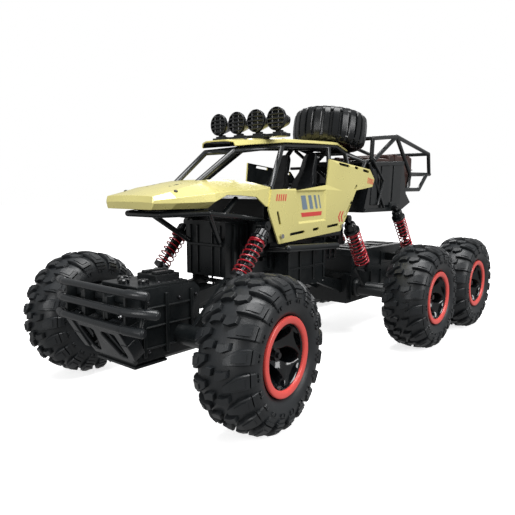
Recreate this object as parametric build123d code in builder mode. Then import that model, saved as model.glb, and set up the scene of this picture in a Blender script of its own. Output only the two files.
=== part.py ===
"""A six-wheel radio-controlled rock crawler buggy, about 1:12, in millimetres.

+X is forward, +Y is the buggy's left and +Z is up. The origin is on the ground under the centre of
the bounding box. The front wheels stand steered a little to the left at rest.
"""

import math
import os

from build123d import *

os.makedirs("parts", exist_ok=True)

# ---------------------------------------------------------------- driving dimensions
TYRE_RADIUS = 55.0
TYRE_WIDTH = 47.0
AXLE_Z = TYRE_RADIUS
FRONT_X, MIDDLE_X, REAR_X = 190.0, -76.0, -196.0
WHEEL_Y = 104.0  # mid-plane of every wheel
KINGPIN_Y = 72.0
STEER_REST = 6.3  # degrees to the left
STEER_ARM = 24.0
SHAFT_R = 2.5
RUNNING = 0.1  # radial clearance of a shaft in its bore
SKIN = 1.5  # thickness of the pressed alloy panels
HALF_LENGTH = 256.0

# suspension: (x, z) of the pivots, and of each damper's upper and lower eye
FRONT_PIVOT = (128.0, 86.0)
BOGIE_PIVOT = (4.0, 76.0)
DAMPER_Y = 48.0
DAMPERS = {
    "front": ((116.0, 136.0), (154.0, 92.0)),
    "middle": ((-16.0, 137.0), (-53.0, 82.0)),
    "rear": ((-124.0, 147.0), (-164.0, 93.0)),
}
SPRING_TURNS = {"front": 6.0, "middle": 9.0, "rear": 8.0}
EYE_R, EYE_WIDTH, PIN_R = 4.0, 5.0, 1.6
SPRING_R, WIRE_R = 6.4, 0.65
BRACKET_Y = (DAMPER_Y - 11.1, DAMPER_Y - 7.6)

# gears
MODULE, GEAR_TEETH, PINION_TEETH = 1.0, 26, 12
GEAR_Y = (-15.0, -8.0)
CENTRE_DISTANCE = MODULE * (GEAR_TEETH + PINION_TEETH) / 2
MOTOR_R, MOTOR_END_Y = 10.0, 22.0
# the way from each axle to its motor pinion, in degrees from +X towards +Z
PINION_ANGLE = {"front": 90.0, "middle": 135.0, "rear": 45.0}
AXLE_X = {"front": FRONT_X, "middle": MIDDLE_X, "rear": REAR_X}

# body
LAMP_X, LAMP_Z, LAMP_R, LAMP_PITCH = 82.0, 229.5, 10.5, 23.4
SPARE_CENTRE, SPARE_TILT = (-53.0, 0.0, 232.0), -9.0
SPARE_RADIUS, SPARE_WIDTH = 41.0, 37.0
PANEL_Y = 51.0
BED_Y = 42.0
RACK_Y = 40.0


# ---------------------------------------------------------------- helpers
def save(part, name):
    part.label = name
    export_step(part, f"parts/{name}.step")


def box(x, y, z):
    """A block between the given limits, each a pair."""
    with BuildPart() as block:
        with BuildSketch(Plane.XY.offset(z[0])):
            with Locations(((x[0] + x[1]) / 2, (y[0] + y[1]) / 2)):
                Rectangle(x[1] - x[0], y[1] - y[0])
        extrude(amount=z[1] - z[0])
    return block.part


def rod(start, end, radius):
    """A round bar from one point to another."""
    line = Vector(*end) - Vector(*start)
    with BuildPart() as bar:
        with BuildSketch(Plane(origin=start, z_dir=line)):
            Circle(radius)
        extrude(amount=line.length)
    return bar.part


def ball(centre, radius):
    with BuildPart() as sphere:
        with Locations(centre):
            Sphere(radius)
    return sphere.part


def tubes(paths, radius):
    """Round tubes along chains of points, with a rounded knuckle at each point."""
    with BuildPart() as frame:
        for path in paths:
            for start, end in zip(path, path[1:]):
                add(rod(start, end, radius))
            for point in path:
                add(ball(point, radius))
    return frame.part


def both_sides(path):
    """A path and its mirror image across the XZ plane."""
    return [path, [(x, -y, z) for x, y, z in path]]


def plate(outline, y):
    """A flat plate of the given (x, z) outline, between two values of y."""
    with BuildPart() as sheet:
        with BuildSketch(Plane.XZ.offset(-y[1])):
            with BuildLine():
                Polyline(*outline, close=True)
            make_face()
        extrude(amount=y[1] - y[0])
    return sheet.part


def cylinder_y(x, z, radius, y):
    """A round bar along Y between two values of y."""
    return rod((x, y[0], z), (x, y[1], z), radius)


def mirrored(part):
    return mirror(part, about=Plane.XZ)


def pair(part):
    """A left-hand piece and its right-hand twin, as separate solids."""
    return Compound([*part.solids(), *mirrored(part).solids()])


def solids_of(*parts):
    """Separate solids grouped in one node."""
    return Compound([solid for part in parts for solid in part.solids()])


def steered(part, side):
    """Turns a piece about a kingpin, from straight ahead to its rest position."""
    x, y = FRONT_X, side * KINGPIN_Y
    turned = part.moved(Location((-x, -y, 0)))
    turned = turned.moved(Location((0, 0, 0), (0, 0, 1), STEER_REST))
    return turned.moved(Location((x, y, 0)))


# ---------------------------------------------------------------- gears
def gear_outline(teeth, phase, thinning=0.12):
    """Half-width angles and radii of a stub involute tooth, then one closed chain of edges."""
    pitch_r = MODULE * teeth / 2
    base_r = pitch_r * math.cos(math.radians(20))
    tip_r, root_r = pitch_r + 0.8 * MODULE, pitch_r - 1.1 * MODULE

    def involute(radius):
        pressure = math.acos(min(1.0, base_r / radius))
        return math.tan(pressure) - pressure

    half_pitch_angle = math.pi / (2 * teeth) - thinning / pitch_r

    def half_angle(radius):
        return half_pitch_angle + involute(pitch_r) - involute(max(radius, base_r))

    def point(radius, angle):
        return (radius * math.cos(angle), radius * math.sin(angle))

    radii = (root_r, base_r, (base_r + tip_r) / 2, tip_r) if root_r < base_r else (root_r, pitch_r, tip_r)
    chain = []
    for tooth in range(teeth):
        middle = math.radians(phase) + 2 * math.pi * tooth / teeth
        chain += [point(r, middle - half_angle(r)) for r in radii]
        chain += [point(r, middle + half_angle(r)) for r in reversed(radii)]
    return chain


def gear(teeth, phase, x, z, y, bore):
    """A spur gear about Y, with a tooth centred at the phase angle from +X towards +Z."""
    with BuildPart() as wheel:
        with BuildSketch(Plane.XZ.offset(-y[1])):
            with BuildLine():
                Polyline(*gear_outline(teeth, phase), close=True)
            make_face()
            if bore:
                Circle(bore, mode=Mode.SUBTRACT)
        extrude(amount=y[1] - y[0])
    return wheel.part.moved(Location((x, 0, z)))


def pinion_centre(axle):
    angle = math.radians(PINION_ANGLE[axle])
    return (
        AXLE_X[axle] + CENTRE_DISTANCE * math.cos(angle),
        AXLE_Z + CENTRE_DISTANCE * math.sin(angle),
    )


def axle_gear(axle):
    """The big gear, turned so that a gap faces its pinion."""
    phase = PINION_ANGLE[axle] + 180.0 / GEAR_TEETH
    return gear(GEAR_TEETH, phase, AXLE_X[axle], AXLE_Z, GEAR_Y, SHAFT_R + 0.02)


def motor_pinion(axle):
    """The motor's shaft with its pinion, a tooth towards the big gear."""
    x, z = pinion_centre(axle)
    with BuildPart() as pinion:
        add(gear(PINION_TEETH, PINION_ANGLE[axle] + 180.0, x, z, GEAR_Y, 0))
        add(cylinder_y(x, z, 1.0, (GEAR_Y[1], 2.0)))
    return pinion.part


def motor(axle):
    """A can motor with a bore for its shaft."""
    x, z = pinion_centre(axle)
    with BuildPart() as can:
        add(cylinder_y(x, z, MOTOR_R, (-3.0, MOTOR_END_Y)))
        add(cylinder_y(x, z, 3.0, (-5.0, -3.0)))
        add(cylinder_y(x, z, 1.0 + RUNNING, (-5.0, 4.0)), mode=Mode.SUBTRACT)
    return can.part


# ---------------------------------------------------------------- wheels
def tyre(radius, width, bead_r):
    """A balloon tyre about Y: a closed rubber casing, open towards the rim."""
    half = width / 2
    bead_y = half - 5.0
    outside = [
        (bead_r, bead_y),
        (bead_r + 4.3, bead_y),
        (radius * 0.66, half - 0.6),
        (radius * 0.80, half),
        (radius * 0.93, half * 0.82),
        (radius, half * 0.40),
    ]
    inside = [
        (bead_r, bead_y - 3.0),
        (bead_r + 3.3, bead_y - 3.0),
        (radius * 0.64, half - 4.2),
        (radius * 0.79, half - 4.0),
        (radius * 0.87, half * 0.66),
        (radius * 0.93, half * 0.32),
    ]

    def across(points):
        return points + [(r, -y) for r, y in reversed(points)]

    with BuildPart() as casing:
        with BuildSketch(Plane.XY):
            with BuildLine():
                Polyline(*across(outside), *reversed(across(inside)), close=True)
            make_face()
        revolve(axis=Axis.Y)
    return casing.part


def rim(barrel_r, half, hub_bore, hub_r=9.0, spokes=5):
    """A dished rim about Y, its outer side at +Y and its flange outside the inner bead."""
    flange_y = -half - 0.1
    with BuildPart() as wheel:
        with BuildSketch(Plane.XY):
            with BuildLine():
                Polyline(
                    (barrel_r, flange_y - 1.5),
                    (barrel_r + 3.0, flange_y - 1.5),
                    (barrel_r + 3.0, flange_y),
                    (barrel_r, flange_y),
                    (barrel_r, half + 0.1),
                    (barrel_r - 2.4, half + 0.1),
                    (barrel_r - 3.0, 2.0),
                    (barrel_r - 2.4, flange_y - 1.5),
                    close=True,
                )
            make_face()
        revolve(axis=Axis.Y)
        add(cylinder_y(0, 0, hub_r, (-2.0, 8.0)))
        for index in range(spokes):
            angle = 360.0 * index / spokes
            spoke = box((hub_r - 2.0, barrel_r - 1.2), (-4.0, 4.0), (-3.6, 3.6))
            add(spoke.moved(Location((0, 0, 0), (0, 1, 0), angle)))
        add(cylinder_y(0, 0, hub_bore, (-6.0, 12.0)), mode=Mode.SUBTRACT)
    return wheel.part


def bead_ring(outer_r, inner_r, y):
    with BuildPart() as ring:
        add(cylinder_y(0, 0, outer_r, y))
        add(cylinder_y(0, 0, inner_r, (y[0] - 1, y[1] + 1)), mode=Mode.SUBTRACT)
        chamfer(ring.edges().sort_by(Axis.Y)[-2:], 0.5)
    return ring.part


BEAD_R = 24.3
LEFT_TYRE = tyre(TYRE_RADIUS, TYRE_WIDTH, BEAD_R)
BEAD_FACE_Y = TYRE_WIDTH / 2 - 5.0
LEFT_RIM = rim(BEAD_R - 0.1, BEAD_FACE_Y, SHAFT_R + 0.02)
FRONT_RIM = rim(BEAD_R - 0.1, BEAD_FACE_Y, 2.02)
LEFT_RING = bead_ring(27.7, 22.3, (BEAD_FACE_Y + 0.15, BEAD_FACE_Y + 2.2))


def wheel_nut(x, y, z, bore):
    """A hexagonal lock nut about Y, from y outwards."""
    with BuildPart() as nut:
        with BuildSketch(Plane.XZ.offset(-y - 4.0)):
            RegularPolygon(4.2, 6)
            Circle(bore, mode=Mode.SUBTRACT)
        extrude(amount=4.0)
    return nut.part.moved(Location((x, 0, z)))


for side, place in ((1, "left"), (-1, "right")):
    at_wheel = Location((FRONT_X, WHEEL_Y, AXLE_Z))
    pieces = {
        f"tyre_front_{place}": LEFT_TYRE.moved(at_wheel),
        f"rim_front_{place}": FRONT_RIM.moved(at_wheel),
        f"bead_ring_front_{place}": LEFT_RING.moved(at_wheel),
    }
    with BuildPart() as stub:
        add(ball((FRONT_X, KINGPIN_Y, AXLE_Z), 3.0))
        add(rod((FRONT_X, KINGPIN_Y, AXLE_Z - 4.2), (FRONT_X, KINGPIN_Y, AXLE_Z + 4.2), 0.8))
        add(cylinder_y(FRONT_X, AXLE_Z, 1.6, (KINGPIN_Y, 79.0)))
        add(cylinder_y(FRONT_X, AXLE_Z, 2.0, (79.0, WHEEL_Y + 14.0)))
        add(cylinder_y(FRONT_X, AXLE_Z, 5.0, (WHEEL_Y - 5.0, WHEEL_Y - 2.0)))
    nut = wheel_nut(FRONT_X, WHEEL_Y + 8.0, AXLE_Z, 2.02)
    pieces[f"stub_axle_{place}"] = solids_of(stub.part, nut)
    for name, piece in pieces.items():
        handed = piece if side > 0 else mirrored(piece)
        save(steered(handed, side), name)

for axle in ("middle", "rear"):
    at_wheel = Location((AXLE_X[axle], WHEEL_Y, AXLE_Z))
    save(pair(LEFT_TYRE.moved(at_wheel)), f"tyres_{axle}")
    save(pair(LEFT_RIM.moved(at_wheel)), f"rims_{axle}")
    save(pair(LEFT_RING.moved(at_wheel)), f"bead_rings_{axle}")
    shaft = cylinder_y(AXLE_X[axle], AXLE_Z, SHAFT_R, (-WHEEL_Y - 14.0, WHEEL_Y + 14.0))
    nut = wheel_nut(AXLE_X[axle], WHEEL_Y + 8.0, AXLE_Z, SHAFT_R + 0.02)
    save(solids_of(shaft, axle_gear(axle), nut, mirrored(nut)), f"{axle}_axle")

# ---------------------------------------------------------------- front drive and motors
CUP_Y = (62.5, KINGPIN_Y + 2.0)
with BuildPart() as drive_shaft:
    add(cylinder_y(FRONT_X, AXLE_Z, SHAFT_R, (-CUP_Y[0] - 1, CUP_Y[0] + 1)))
    for side in (1, -1):
        limits = sorted((side * CUP_Y[0], side * CUP_Y[1]))
        hollow = sorted((side * (KINGPIN_Y - 4.0), side * (CUP_Y[1] + 1)))
        add(cylinder_y(FRONT_X, AXLE_Z, 4.6, limits))
        add(cylinder_y(FRONT_X, AXLE_Z, 3.4, hollow), mode=Mode.SUBTRACT)
        slot_y = sorted((side * (KINGPIN_Y - 2.8), side * (CUP_Y[1] + 1)))
        slot = box((FRONT_X - 1.1, FRONT_X + 1.1), slot_y, (AXLE_Z - 5, AXLE_Z + 5))
        add(slot, mode=Mode.SUBTRACT)
save(solids_of(drive_shaft.part, axle_gear("front")), "front_drive_shaft")

for axle in AXLE_X:
    save(motor_pinion(axle), f"{axle}_pinion")
save(motor("front"), "front_motor")
save(solids_of(motor("middle"), motor("rear")), "bogie_motors")

# ---------------------------------------------------------------- front axle
BOX_X, BOX_Y, BOX_Z = (171.0, 232.0), 25.0, (38.5, 94.0)
WALL = 2.0
TIE_X, TIE_Z = FRONT_X - STEER_ARM, 60.0


def eye_pin(x, z, start_y):
    """The boss and the pin that a left-hand damper eye turns on."""
    with BuildPart() as pin:
        add(cylinder_y(x, z, 3.0, (start_y, DAMPER_Y - EYE_WIDTH / 2 - 0.3)))
        add(cylinder_y(x, z, PIN_R, (start_y, DAMPER_Y + EYE_WIDTH / 2 + 0.8)))
    return pin.part


def damper_bracket(x, z, root_x, root_z):
    """A flat arm well inboard of a left-hand damper, with its eye pin."""
    inner, outer = BRACKET_Y
    along = math.atan2(z - root_z, x - root_x)
    dx, dz = 4.0 * math.sin(along), 4.0 * math.cos(along)
    outline = [(root_x + dx, root_z - dz), (x + dx, z - dz), (x - dx, z + dz), (root_x - dx, root_z + dz)]
    with BuildPart() as bracket:
        add(plate(outline, (inner, outer)))
        add(cylinder_y(x, z, 4.0, (inner, outer)))
        add(eye_pin(x, z, inner))
    return bracket.part


def axle_tubes(x, start_y, end_y):
    """A tube along Y on the left, with its mirror image."""
    with BuildPart() as tube:
        add(cylinder_y(x, AXLE_Z, 8.0, (start_y, end_y)))
        add(mirrored(tube.part))
    return tube.part


with BuildPart() as front_housing:
    add(box(BOX_X, (-BOX_Y, BOX_Y), BOX_Z))
    chamfer(front_housing.edges().filter_by(Axis.Y).group_by(Axis.Z)[-1], 5.0)
    chamfer(front_housing.edges().filter_by(Axis.X).group_by(Axis.Z)[0], 3.0)
    add(axle_tubes(FRONT_X, BOX_Y - 1, 58.0))
    for side in (1, -1):
        yoke = [box((FRONT_X - 8, FRONT_X + 8), (56, 60), (AXLE_Z - 14, AXLE_Z + 14))]
        yoke += [box((FRONT_X - 6, FRONT_X + 6), (58, 78), (AXLE_Z + z, AXLE_Z + z + 3)) for z in (11, -14)]
        arm = damper_bracket(*DAMPERS["front"][1], FRONT_X - 2, AXLE_Z + 5)
        for piece in (*yoke, arm):
            add(piece if side > 0 else mirrored(piece))
        ears = rod((FRONT_X, side * KINGPIN_Y, AXLE_Z - 15), (FRONT_X, side * KINGPIN_Y, AXLE_Z + 15), 2.6)
        add(ears, mode=Mode.SUBTRACT)
    inside = box((BOX_X[0] + WALL, BOX_X[1] - WALL), (WALL - BOX_Y, BOX_Y - WALL), (40.5, 88.0))
    add(inside, mode=Mode.SUBTRACT)
    add(cylinder_y(FRONT_X, AXLE_Z, SHAFT_R + RUNNING, (-61, 61)), mode=Mode.SUBTRACT)
    seat_x, seat_z = pinion_centre("front")
    add(box((seat_x - 5, seat_x + 5), (MOTOR_END_Y, BOX_Y - 1), (seat_z - 5, seat_z + 5)))
save(front_housing.part, "front_axle_housing")

# links: a yoke from the housing back to the pivot pin on the chassis
LINK_Y = (12.0, 18.5)


def link_yoke(pivot, root, depth):
    """Two arms with eyes round the pivot, joined by a cross bar at the housing."""
    px, pz = pivot
    rx, rz = root
    with BuildPart() as yoke:
        for side in (1, -1):
            limits = sorted((side * LINK_Y[0], side * LINK_Y[1]))
            add(plate([(px, pz - 3.2), (rx, rz - depth), (rx, rz + depth), (px, pz + 3.2)], limits))
            add(cylinder_y(px, pz, 4.2, limits))
        step = 5.0 if px > rx else -5.0
        add(box(sorted((rx, rx + step)), (-LINK_Y[1], LINK_Y[1]), (rz - depth, rz + depth)))
        add(cylinder_y(px, pz, 2.0 + RUNNING, (-30, 30)), mode=Mode.SUBTRACT)
    return yoke.part


save(link_yoke(FRONT_PIVOT, (BOX_X[0], 77.0), 6.0), "front_links")

# steering
SERVO_X = TIE_X - STEER_ARM
SERVO_Z = (68.5, 84.0)
HORN_Z = (64.0, 66.5)
GROMMET_Z, GROMMET_R, LEAD_R = 73.0, 3.0, 0.8
with BuildPart() as servo:
    add(box((SERVO_X - 8, SERVO_X + 16), (-9, 9), SERVO_Z))
    chamfer(servo.edges().filter_by(Axis.Z), 1.0)
    add(box((SERVO_X + 16, BOX_X[0] - 5.0), (-9, 9), (72.0, 80.0)))
    add(rod((SERVO_X, 0, HORN_Z[1]), (SERVO_X, 0, SERVO_Z[0] + 6), 2.0), mode=Mode.SUBTRACT)
    add(rod((SERVO_X - 9, 0, GROMMET_Z), (SERVO_X - 2, 0, GROMMET_Z), GROMMET_R), mode=Mode.SUBTRACT)
save(servo.part, "steering_servo")

with BuildPart() as horn:
    add(rod((0, 0, HORN_Z[0]), (0, 0, HORN_Z[1]), 4.0))
    add(box((0, STEER_ARM), (-2.5, 2.5), HORN_Z))
    add(rod((STEER_ARM, 0, HORN_Z[0]), (STEER_ARM, 0, HORN_Z[1]), 2.5))
    add(rod((STEER_ARM, 0, TIE_Z - 3.5), (STEER_ARM, 0, HORN_Z[0] + 1), 1.5))
    add(rod((0, 0, HORN_Z[1]), (0, 0, SERVO_Z[0] + 5), 2.0 - RUNNING))
horn_rest = horn.part.moved(Location((0, 0, 0), (0, 0, 1), -STEER_REST))
save(horn_rest.moved(Location((SERVO_X, 0, 0))), "servo_horn")

TIE_SHIFT = -STEER_ARM * math.sin(math.radians(STEER_REST))
with BuildPart() as tie_rod:
    add(rod((TIE_X, -KINGPIN_Y, TIE_Z), (TIE_X, KINGPIN_Y, TIE_Z), 2.5))
    for y in (-KINGPIN_Y, 0.0, KINGPIN_Y):
        add(box((TIE_X - 6, TIE_X + 4.5), (y - 5, y + 5), (TIE_Z - 2.5, TIE_Z + 2.5)))
    for y in (-KINGPIN_Y, 0.0, KINGPIN_Y):
        with BuildSketch(Plane.XY.offset(TIE_Z - 4)):
            with Locations((TIE_X - 0.5, y)):
                SlotOverall(8.4, 3.9)
        extrude(amount=8, mode=Mode.SUBTRACT)
save(tie_rod.part.moved(Location((0, TIE_SHIFT, 0))), "tie_rod")

for side, place in ((1, "left"), (-1, "right")):
    x, y, z = FRONT_X, KINGPIN_Y, AXLE_Z
    with BuildPart() as knuckle:
        for low, high in ((7.5, 10.6), (-10.6, -7.5)):
            add(box((x - 6, x + 6), (y - 4, y + 12), (z + low, z + high)))
        add(box((x - 6, x + 6), (y + 8.5, y + 12), (z - 10.6, z + 10.6)))
        add(cylinder_y(x, z, 6.5, (y + 8.5, y + 22)))
        add(rod((x, y, z + 10), (x, y, z + 14), 2.5))
        add(rod((x, y, z - 14), (x, y, z - 10), 2.5))
        add(box((x - STEER_ARM, x - 5), (y - 3, y + 3), (z + 8.2, z + 10.6)))
        add(rod((x - STEER_ARM, y, z + 8.2), (x - STEER_ARM, y, z + 10.6), 3.0))
        add(rod((x - STEER_ARM, y, TIE_Z - 3.5), (x - STEER_ARM, y, z + 9), 1.5))
        add(cylinder_y(x, z, 2.0 + RUNNING, (y + 8, y + 24)), mode=Mode.SUBTRACT)
    handed = knuckle.part if side > 0 else mirrored(knuckle.part)
    save(steered(handed, side), f"knuckle_{place}")

# bumper: three bars with their ends swept back, upright ribs, stays, and the skid plate below
BAR_R = 2.6
BUMPER_X = HALF_LENGTH - BAR_R
BARS = [
    [(244.0, 54.0, 96.0), (BUMPER_X - 2.0, 37.0, 97.0)],
    [(241.0, 61.0, 84.0), (BUMPER_X - 1.0, 37.0, 84.5)],
    [(246.5, 52.5, 71.0), (BUMPER_X, 35.0, 72.5)],
]
with BuildPart() as bumper:
    for bar in BARS:
        far = [(x, -y, z) for x, y, z in reversed(bar)]
        add(tubes([bar + far], BAR_R))
    for y in (-37.0, -12.3, 12.3, 37.0):
        add(box((BUMPER_X - 6, BUMPER_X - 0.5), (y - 1.2, y + 1.2), (72, 97)))
    for side in (1, -1):
        add(box((BOX_X[1], BUMPER_X - 2), sorted((side * 14, side * 20)), (78, 90)))
with BuildPart() as skid:
    with BuildSketch(Plane.XZ.offset(-32)):
        with BuildLine():
            Polyline((249, 69), (251, 66), (231, 36), (203, 38), (203, 40.2), (229, 39), (244, 62), (232, 62), (232, 69), close=True)
        make_face()
    extrude(amount=64)
    for side in (1, -1):
        cheek = plate([(247, 66), (231, 37), (206, 39), (214, 58), (232, 69)], sorted((side * 29, side * 32)))
        add(cheek)
    add(box((BOX_X[0], BOX_X[1]), (-BOX_Y - 1, BOX_Y + 1), (37, 100)), mode=Mode.SUBTRACT)
    for side in (1, -1):
        with BuildSketch(Plane.YZ.offset(200)):
            with BuildLine():
                Polyline((side * 4, 58), (side * 26, 60), (side * 24, 44), close=True)
            make_face()
            fillet(vertices(), 1.5)
        extrude(amount=60, mode=Mode.SUBTRACT)
save(solids_of(bumper.part, skid.part), "front_bumper")

# ---------------------------------------------------------------- rear bogie
BOGIE_Y = 25.0
with BuildPart() as bogie:
    add(box((-218, -56), (-BOGIE_Y, BOGIE_Y), (38.5, 72)))
    add(box((-206, -66), (-BOGIE_Y, BOGIE_Y), (70, 98)))
    chamfer(bogie.edges().filter_by(Axis.Y).group_by(Axis.Z)[-1], 6.0)
    for x in (MIDDLE_X, REAR_X):
        add(axle_tubes(x, BOGIE_Y - 1, 79.0))
    for side in (1, -1):
        front_arm = damper_bracket(*DAMPERS["middle"][1], MIDDLE_X + 2, AXLE_Z + 4)
        rear_x, rear_z = DAMPERS["rear"][1]
        rear_arm = damper_bracket(rear_x, rear_z, rear_x + 14, rear_z - 8)
        foot = box((rear_x + 4, rear_x + 16), (BOGIE_Y - 1, BRACKET_Y[1]), (rear_z - 13, rear_z - 4))
        for piece in (front_arm, rear_arm, foot):
            add(piece if side > 0 else mirrored(piece))
    add(box((-216, -58), (WALL - BOGIE_Y, BOGIE_Y - WALL), (40.5, 70)), mode=Mode.SUBTRACT)
    add(box((-202, -70), (WALL - BOGIE_Y, BOGIE_Y - WALL), (69, 91)), mode=Mode.SUBTRACT)
    for axle in ("middle", "rear"):
        add(cylinder_y(AXLE_X[axle], AXLE_Z, SHAFT_R + RUNNING, (-80, 80)), mode=Mode.SUBTRACT)
        seat_x, seat_z = pinion_centre(axle)
        add(box((seat_x - 5, seat_x + 5), (MOTOR_END_Y, BOGIE_Y - 1), (seat_z - 5, seat_z + 5)))
save(bogie.part, "bogie_housing")
save(link_yoke(BOGIE_PIVOT, (-56.0, 58.0), 7.0), "bogie_links")


# ---------------------------------------------------------------- dampers and springs
def along(axle, distance):
    """A point on a damper's axis, from its upper eye downwards."""
    (ux, uz), (lx, lz) = DAMPERS[axle]
    length = math.hypot(lx - ux, lz - uz)
    return (ux + (lx - ux) * distance / length, DAMPER_Y, uz + (lz - uz) * distance / length)


def damper_length(axle):
    (ux, uz), (lx, lz) = DAMPERS[axle]
    return math.hypot(lx - ux, lz - uz)


CAP_END, BODY_SHARE, SEAT = 16.0, 0.66, 8.0
SPRING_GAP = 1.0


def eye(x, z, bore):
    with BuildPart() as ring:
        add(cylinder_y(x, z, EYE_R, (DAMPER_Y - EYE_WIDTH / 2, DAMPER_Y + EYE_WIDTH / 2)))
        add(cylinder_y(x, z, bore, (DAMPER_Y - 5, DAMPER_Y + 5)), mode=Mode.SUBTRACT)
    return ring.part


for axle, (upper, lower) in DAMPERS.items():
    length = damper_length(axle)
    with BuildPart() as damper_body:
        add(rod(along(axle, 3.0), along(axle, 7.0), 2.4))
        add(rod(along(axle, 5.0), along(axle, CAP_END - 2), 5.2))
        add(rod(along(axle, CAP_END - 2), along(axle, CAP_END), 7.2))
        add(rod(along(axle, CAP_END), along(axle, length * BODY_SHARE), 4.6))
        add(cylinder_y(*upper, EYE_R, (DAMPER_Y - EYE_WIDTH / 2, DAMPER_Y + EYE_WIDTH / 2)))
        add(cylinder_y(*upper, PIN_R + RUNNING, (DAMPER_Y - 7, DAMPER_Y + 7)), mode=Mode.SUBTRACT)
        add(rod(along(axle, CAP_END - 4), along(axle, length), 2.0 + RUNNING), mode=Mode.SUBTRACT)
    save(pair(damper_body.part), f"{axle}_damper_bodies")
    with BuildPart() as damper_rod:
        add(rod(along(axle, CAP_END + 8), along(axle, length - 3.2), 2.0))
        add(rod(along(axle, length - SEAT), along(axle, length - SEAT + 2), 7.2))
        add(eye(*lower, PIN_R + 0.8))
    save(pair(damper_rod.part), f"{axle}_damper_rods")


def spring(axle):
    """A coil spring round a damper, between the cap and the lower seat."""
    start, end = CAP_END + SPRING_GAP, damper_length(axle) - SEAT - SPRING_GAP
    origin = Vector(*along(axle, start))
    direction = Vector(*along(axle, end)) - origin
    height = end - start
    with BuildPart() as coil:
        with BuildLine() as wire:
            Helix(height / SPRING_TURNS[axle], height, SPRING_R, center=origin, direction=direction)
        with BuildSketch(Plane(origin=wire.line @ 0, z_dir=wire.line % 0)):
            Circle(WIRE_R)
        sweep()
    return coil.part


for axle in DAMPERS:
    save(pair(spring(axle)), f"{axle}_springs")


# ---------------------------------------------------------------- chassis
SPINE_X, SPINE_Y, SPINE_Z = (-34.0, 140.0), 24.0, (92.0, 120.0)
BULKHEAD_X, BULKHEAD_Z = (113.0, 140.0), 139.0
TRAY_X, TRAY_Y, TRAY_Z = (14.0, 76.0), 40.0, (78.0, 110.0)
TRAY_WALL, TRAY_ROOF = 3.0, (93.0, 95.5)
COVER_Z = (76.0, 77.95)
SINK, SCREW_HEAD_R = 1.1, 2.0  # the cover's screw heads lie below its face
SWITCH_X, SWITCH_Z, SWITCH_TRAVEL = 92.0, 104.0, 2.0
STEP_Y, STEP_Z = 60.0, 115.0
EAR_Y = (18.9, 22.4)
TRAY_SCREWS = [(x, y) for x in (TRAY_X[0] + 1.5, TRAY_X[1] - 1.5) for y in (-38.5, 38.5)]


with BuildPart() as tub:
    add(box(SPINE_X, (-SPINE_Y, SPINE_Y), SPINE_Z))
    add(box(TRAY_X, (-TRAY_Y, TRAY_Y), TRAY_Z))
    inner_x = (TRAY_X[0] + TRAY_WALL, TRAY_X[1] - TRAY_WALL)
    inner_y = TRAY_Y - TRAY_WALL
    add(box(inner_x, (-inner_y, inner_y), (TRAY_Z[0] - 1, TRAY_ROOF[0])), mode=Mode.SUBTRACT)
    add(pair(box(inner_x, (SPINE_Y + 2, inner_y), (TRAY_ROOF[1], TRAY_Z[1] + 1))), mode=Mode.SUBTRACT)
    add(box(BULKHEAD_X, (-SPINE_Y, SPINE_Y), (SPINE_Z[1] - 1, BULKHEAD_Z)))
    hollow_x = (SPINE_X[0] + 3, BULKHEAD_X[0] - 3)
    add(box(hollow_x, (2.5 - SPINE_Y, SPINE_Y - 2.5), (TRAY_ROOF[1], SPINE_Z[1] + 1)), mode=Mode.SUBTRACT)
    for x in range(82, 138, 8):
        if abs(x + 1 - SWITCH_X) > 8:
            rib_top = 118 if x < BULKHEAD_X[0] else BULKHEAD_Z - 2
            add(pair(box((x, x + 2), (SPINE_Y - 1, SPINE_Y + 2.5), (95, rib_top))))
    for pivot_x, pivot_z in (FRONT_PIVOT, BOGIE_PIVOT):
        add(pair(box((pivot_x - 7, pivot_x + 7), EAR_Y, (pivot_z - 1, SPINE_Z[0] + 1))))
        add(pair(cylinder_y(pivot_x, pivot_z, 7.0, EAR_Y)))
        add(cylinder_y(pivot_x, pivot_z, 2.0, (-EAR_Y[1], EAR_Y[1])))
    for axle, arm_z in (("front", 115.0), ("middle", 113.0)):
        x, z = DAMPERS[axle][0]
        add(pair(box((x - 6, x + 6), (SPINE_Y - 1, BRACKET_Y[1]), (arm_z - 3, arm_z + 3))))
        add(pair(damper_bracket(x, z, x, arm_z)))
    for x in (40.0, 88.0):
        add(pair(rod((x, SPINE_Y - 1, STEP_Z - 3), (x, STEP_Y, STEP_Z), 2.4)))
    add(tubes(both_sides([(24, STEP_Y, 113.5), (100, STEP_Y, 116.5)]), 3.0))
    slider = box((SWITCH_X - 5, SWITCH_X + 5), (SPINE_Y - 1.7, SPINE_Y + 1), (SWITCH_Z - 2, SWITCH_Z + 2))
    add(slider, mode=Mode.SUBTRACT)
    for x, y in TRAY_SCREWS:
        add(rod((x, y, TRAY_Z[0] - 1), (x, y, TRAY_Z[0] + 6), 1.05), mode=Mode.SUBTRACT)
save(tub.part, "chassis_tub")

with BuildPart() as switch:
    knob_x = (SWITCH_X - SWITCH_TRAVEL - 2.5, SWITCH_X - SWITCH_TRAVEL + 2.5)
    add(box(knob_x, (SPINE_Y - 1.4, SPINE_Y + 1.5), (SWITCH_Z - 1.7, SWITCH_Z + 1.7)))
    chamfer(switch.edges().filter_by(Axis.X).group_by(Axis.Y)[-1], 0.5)
save(switch.part, "power_switch")

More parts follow.
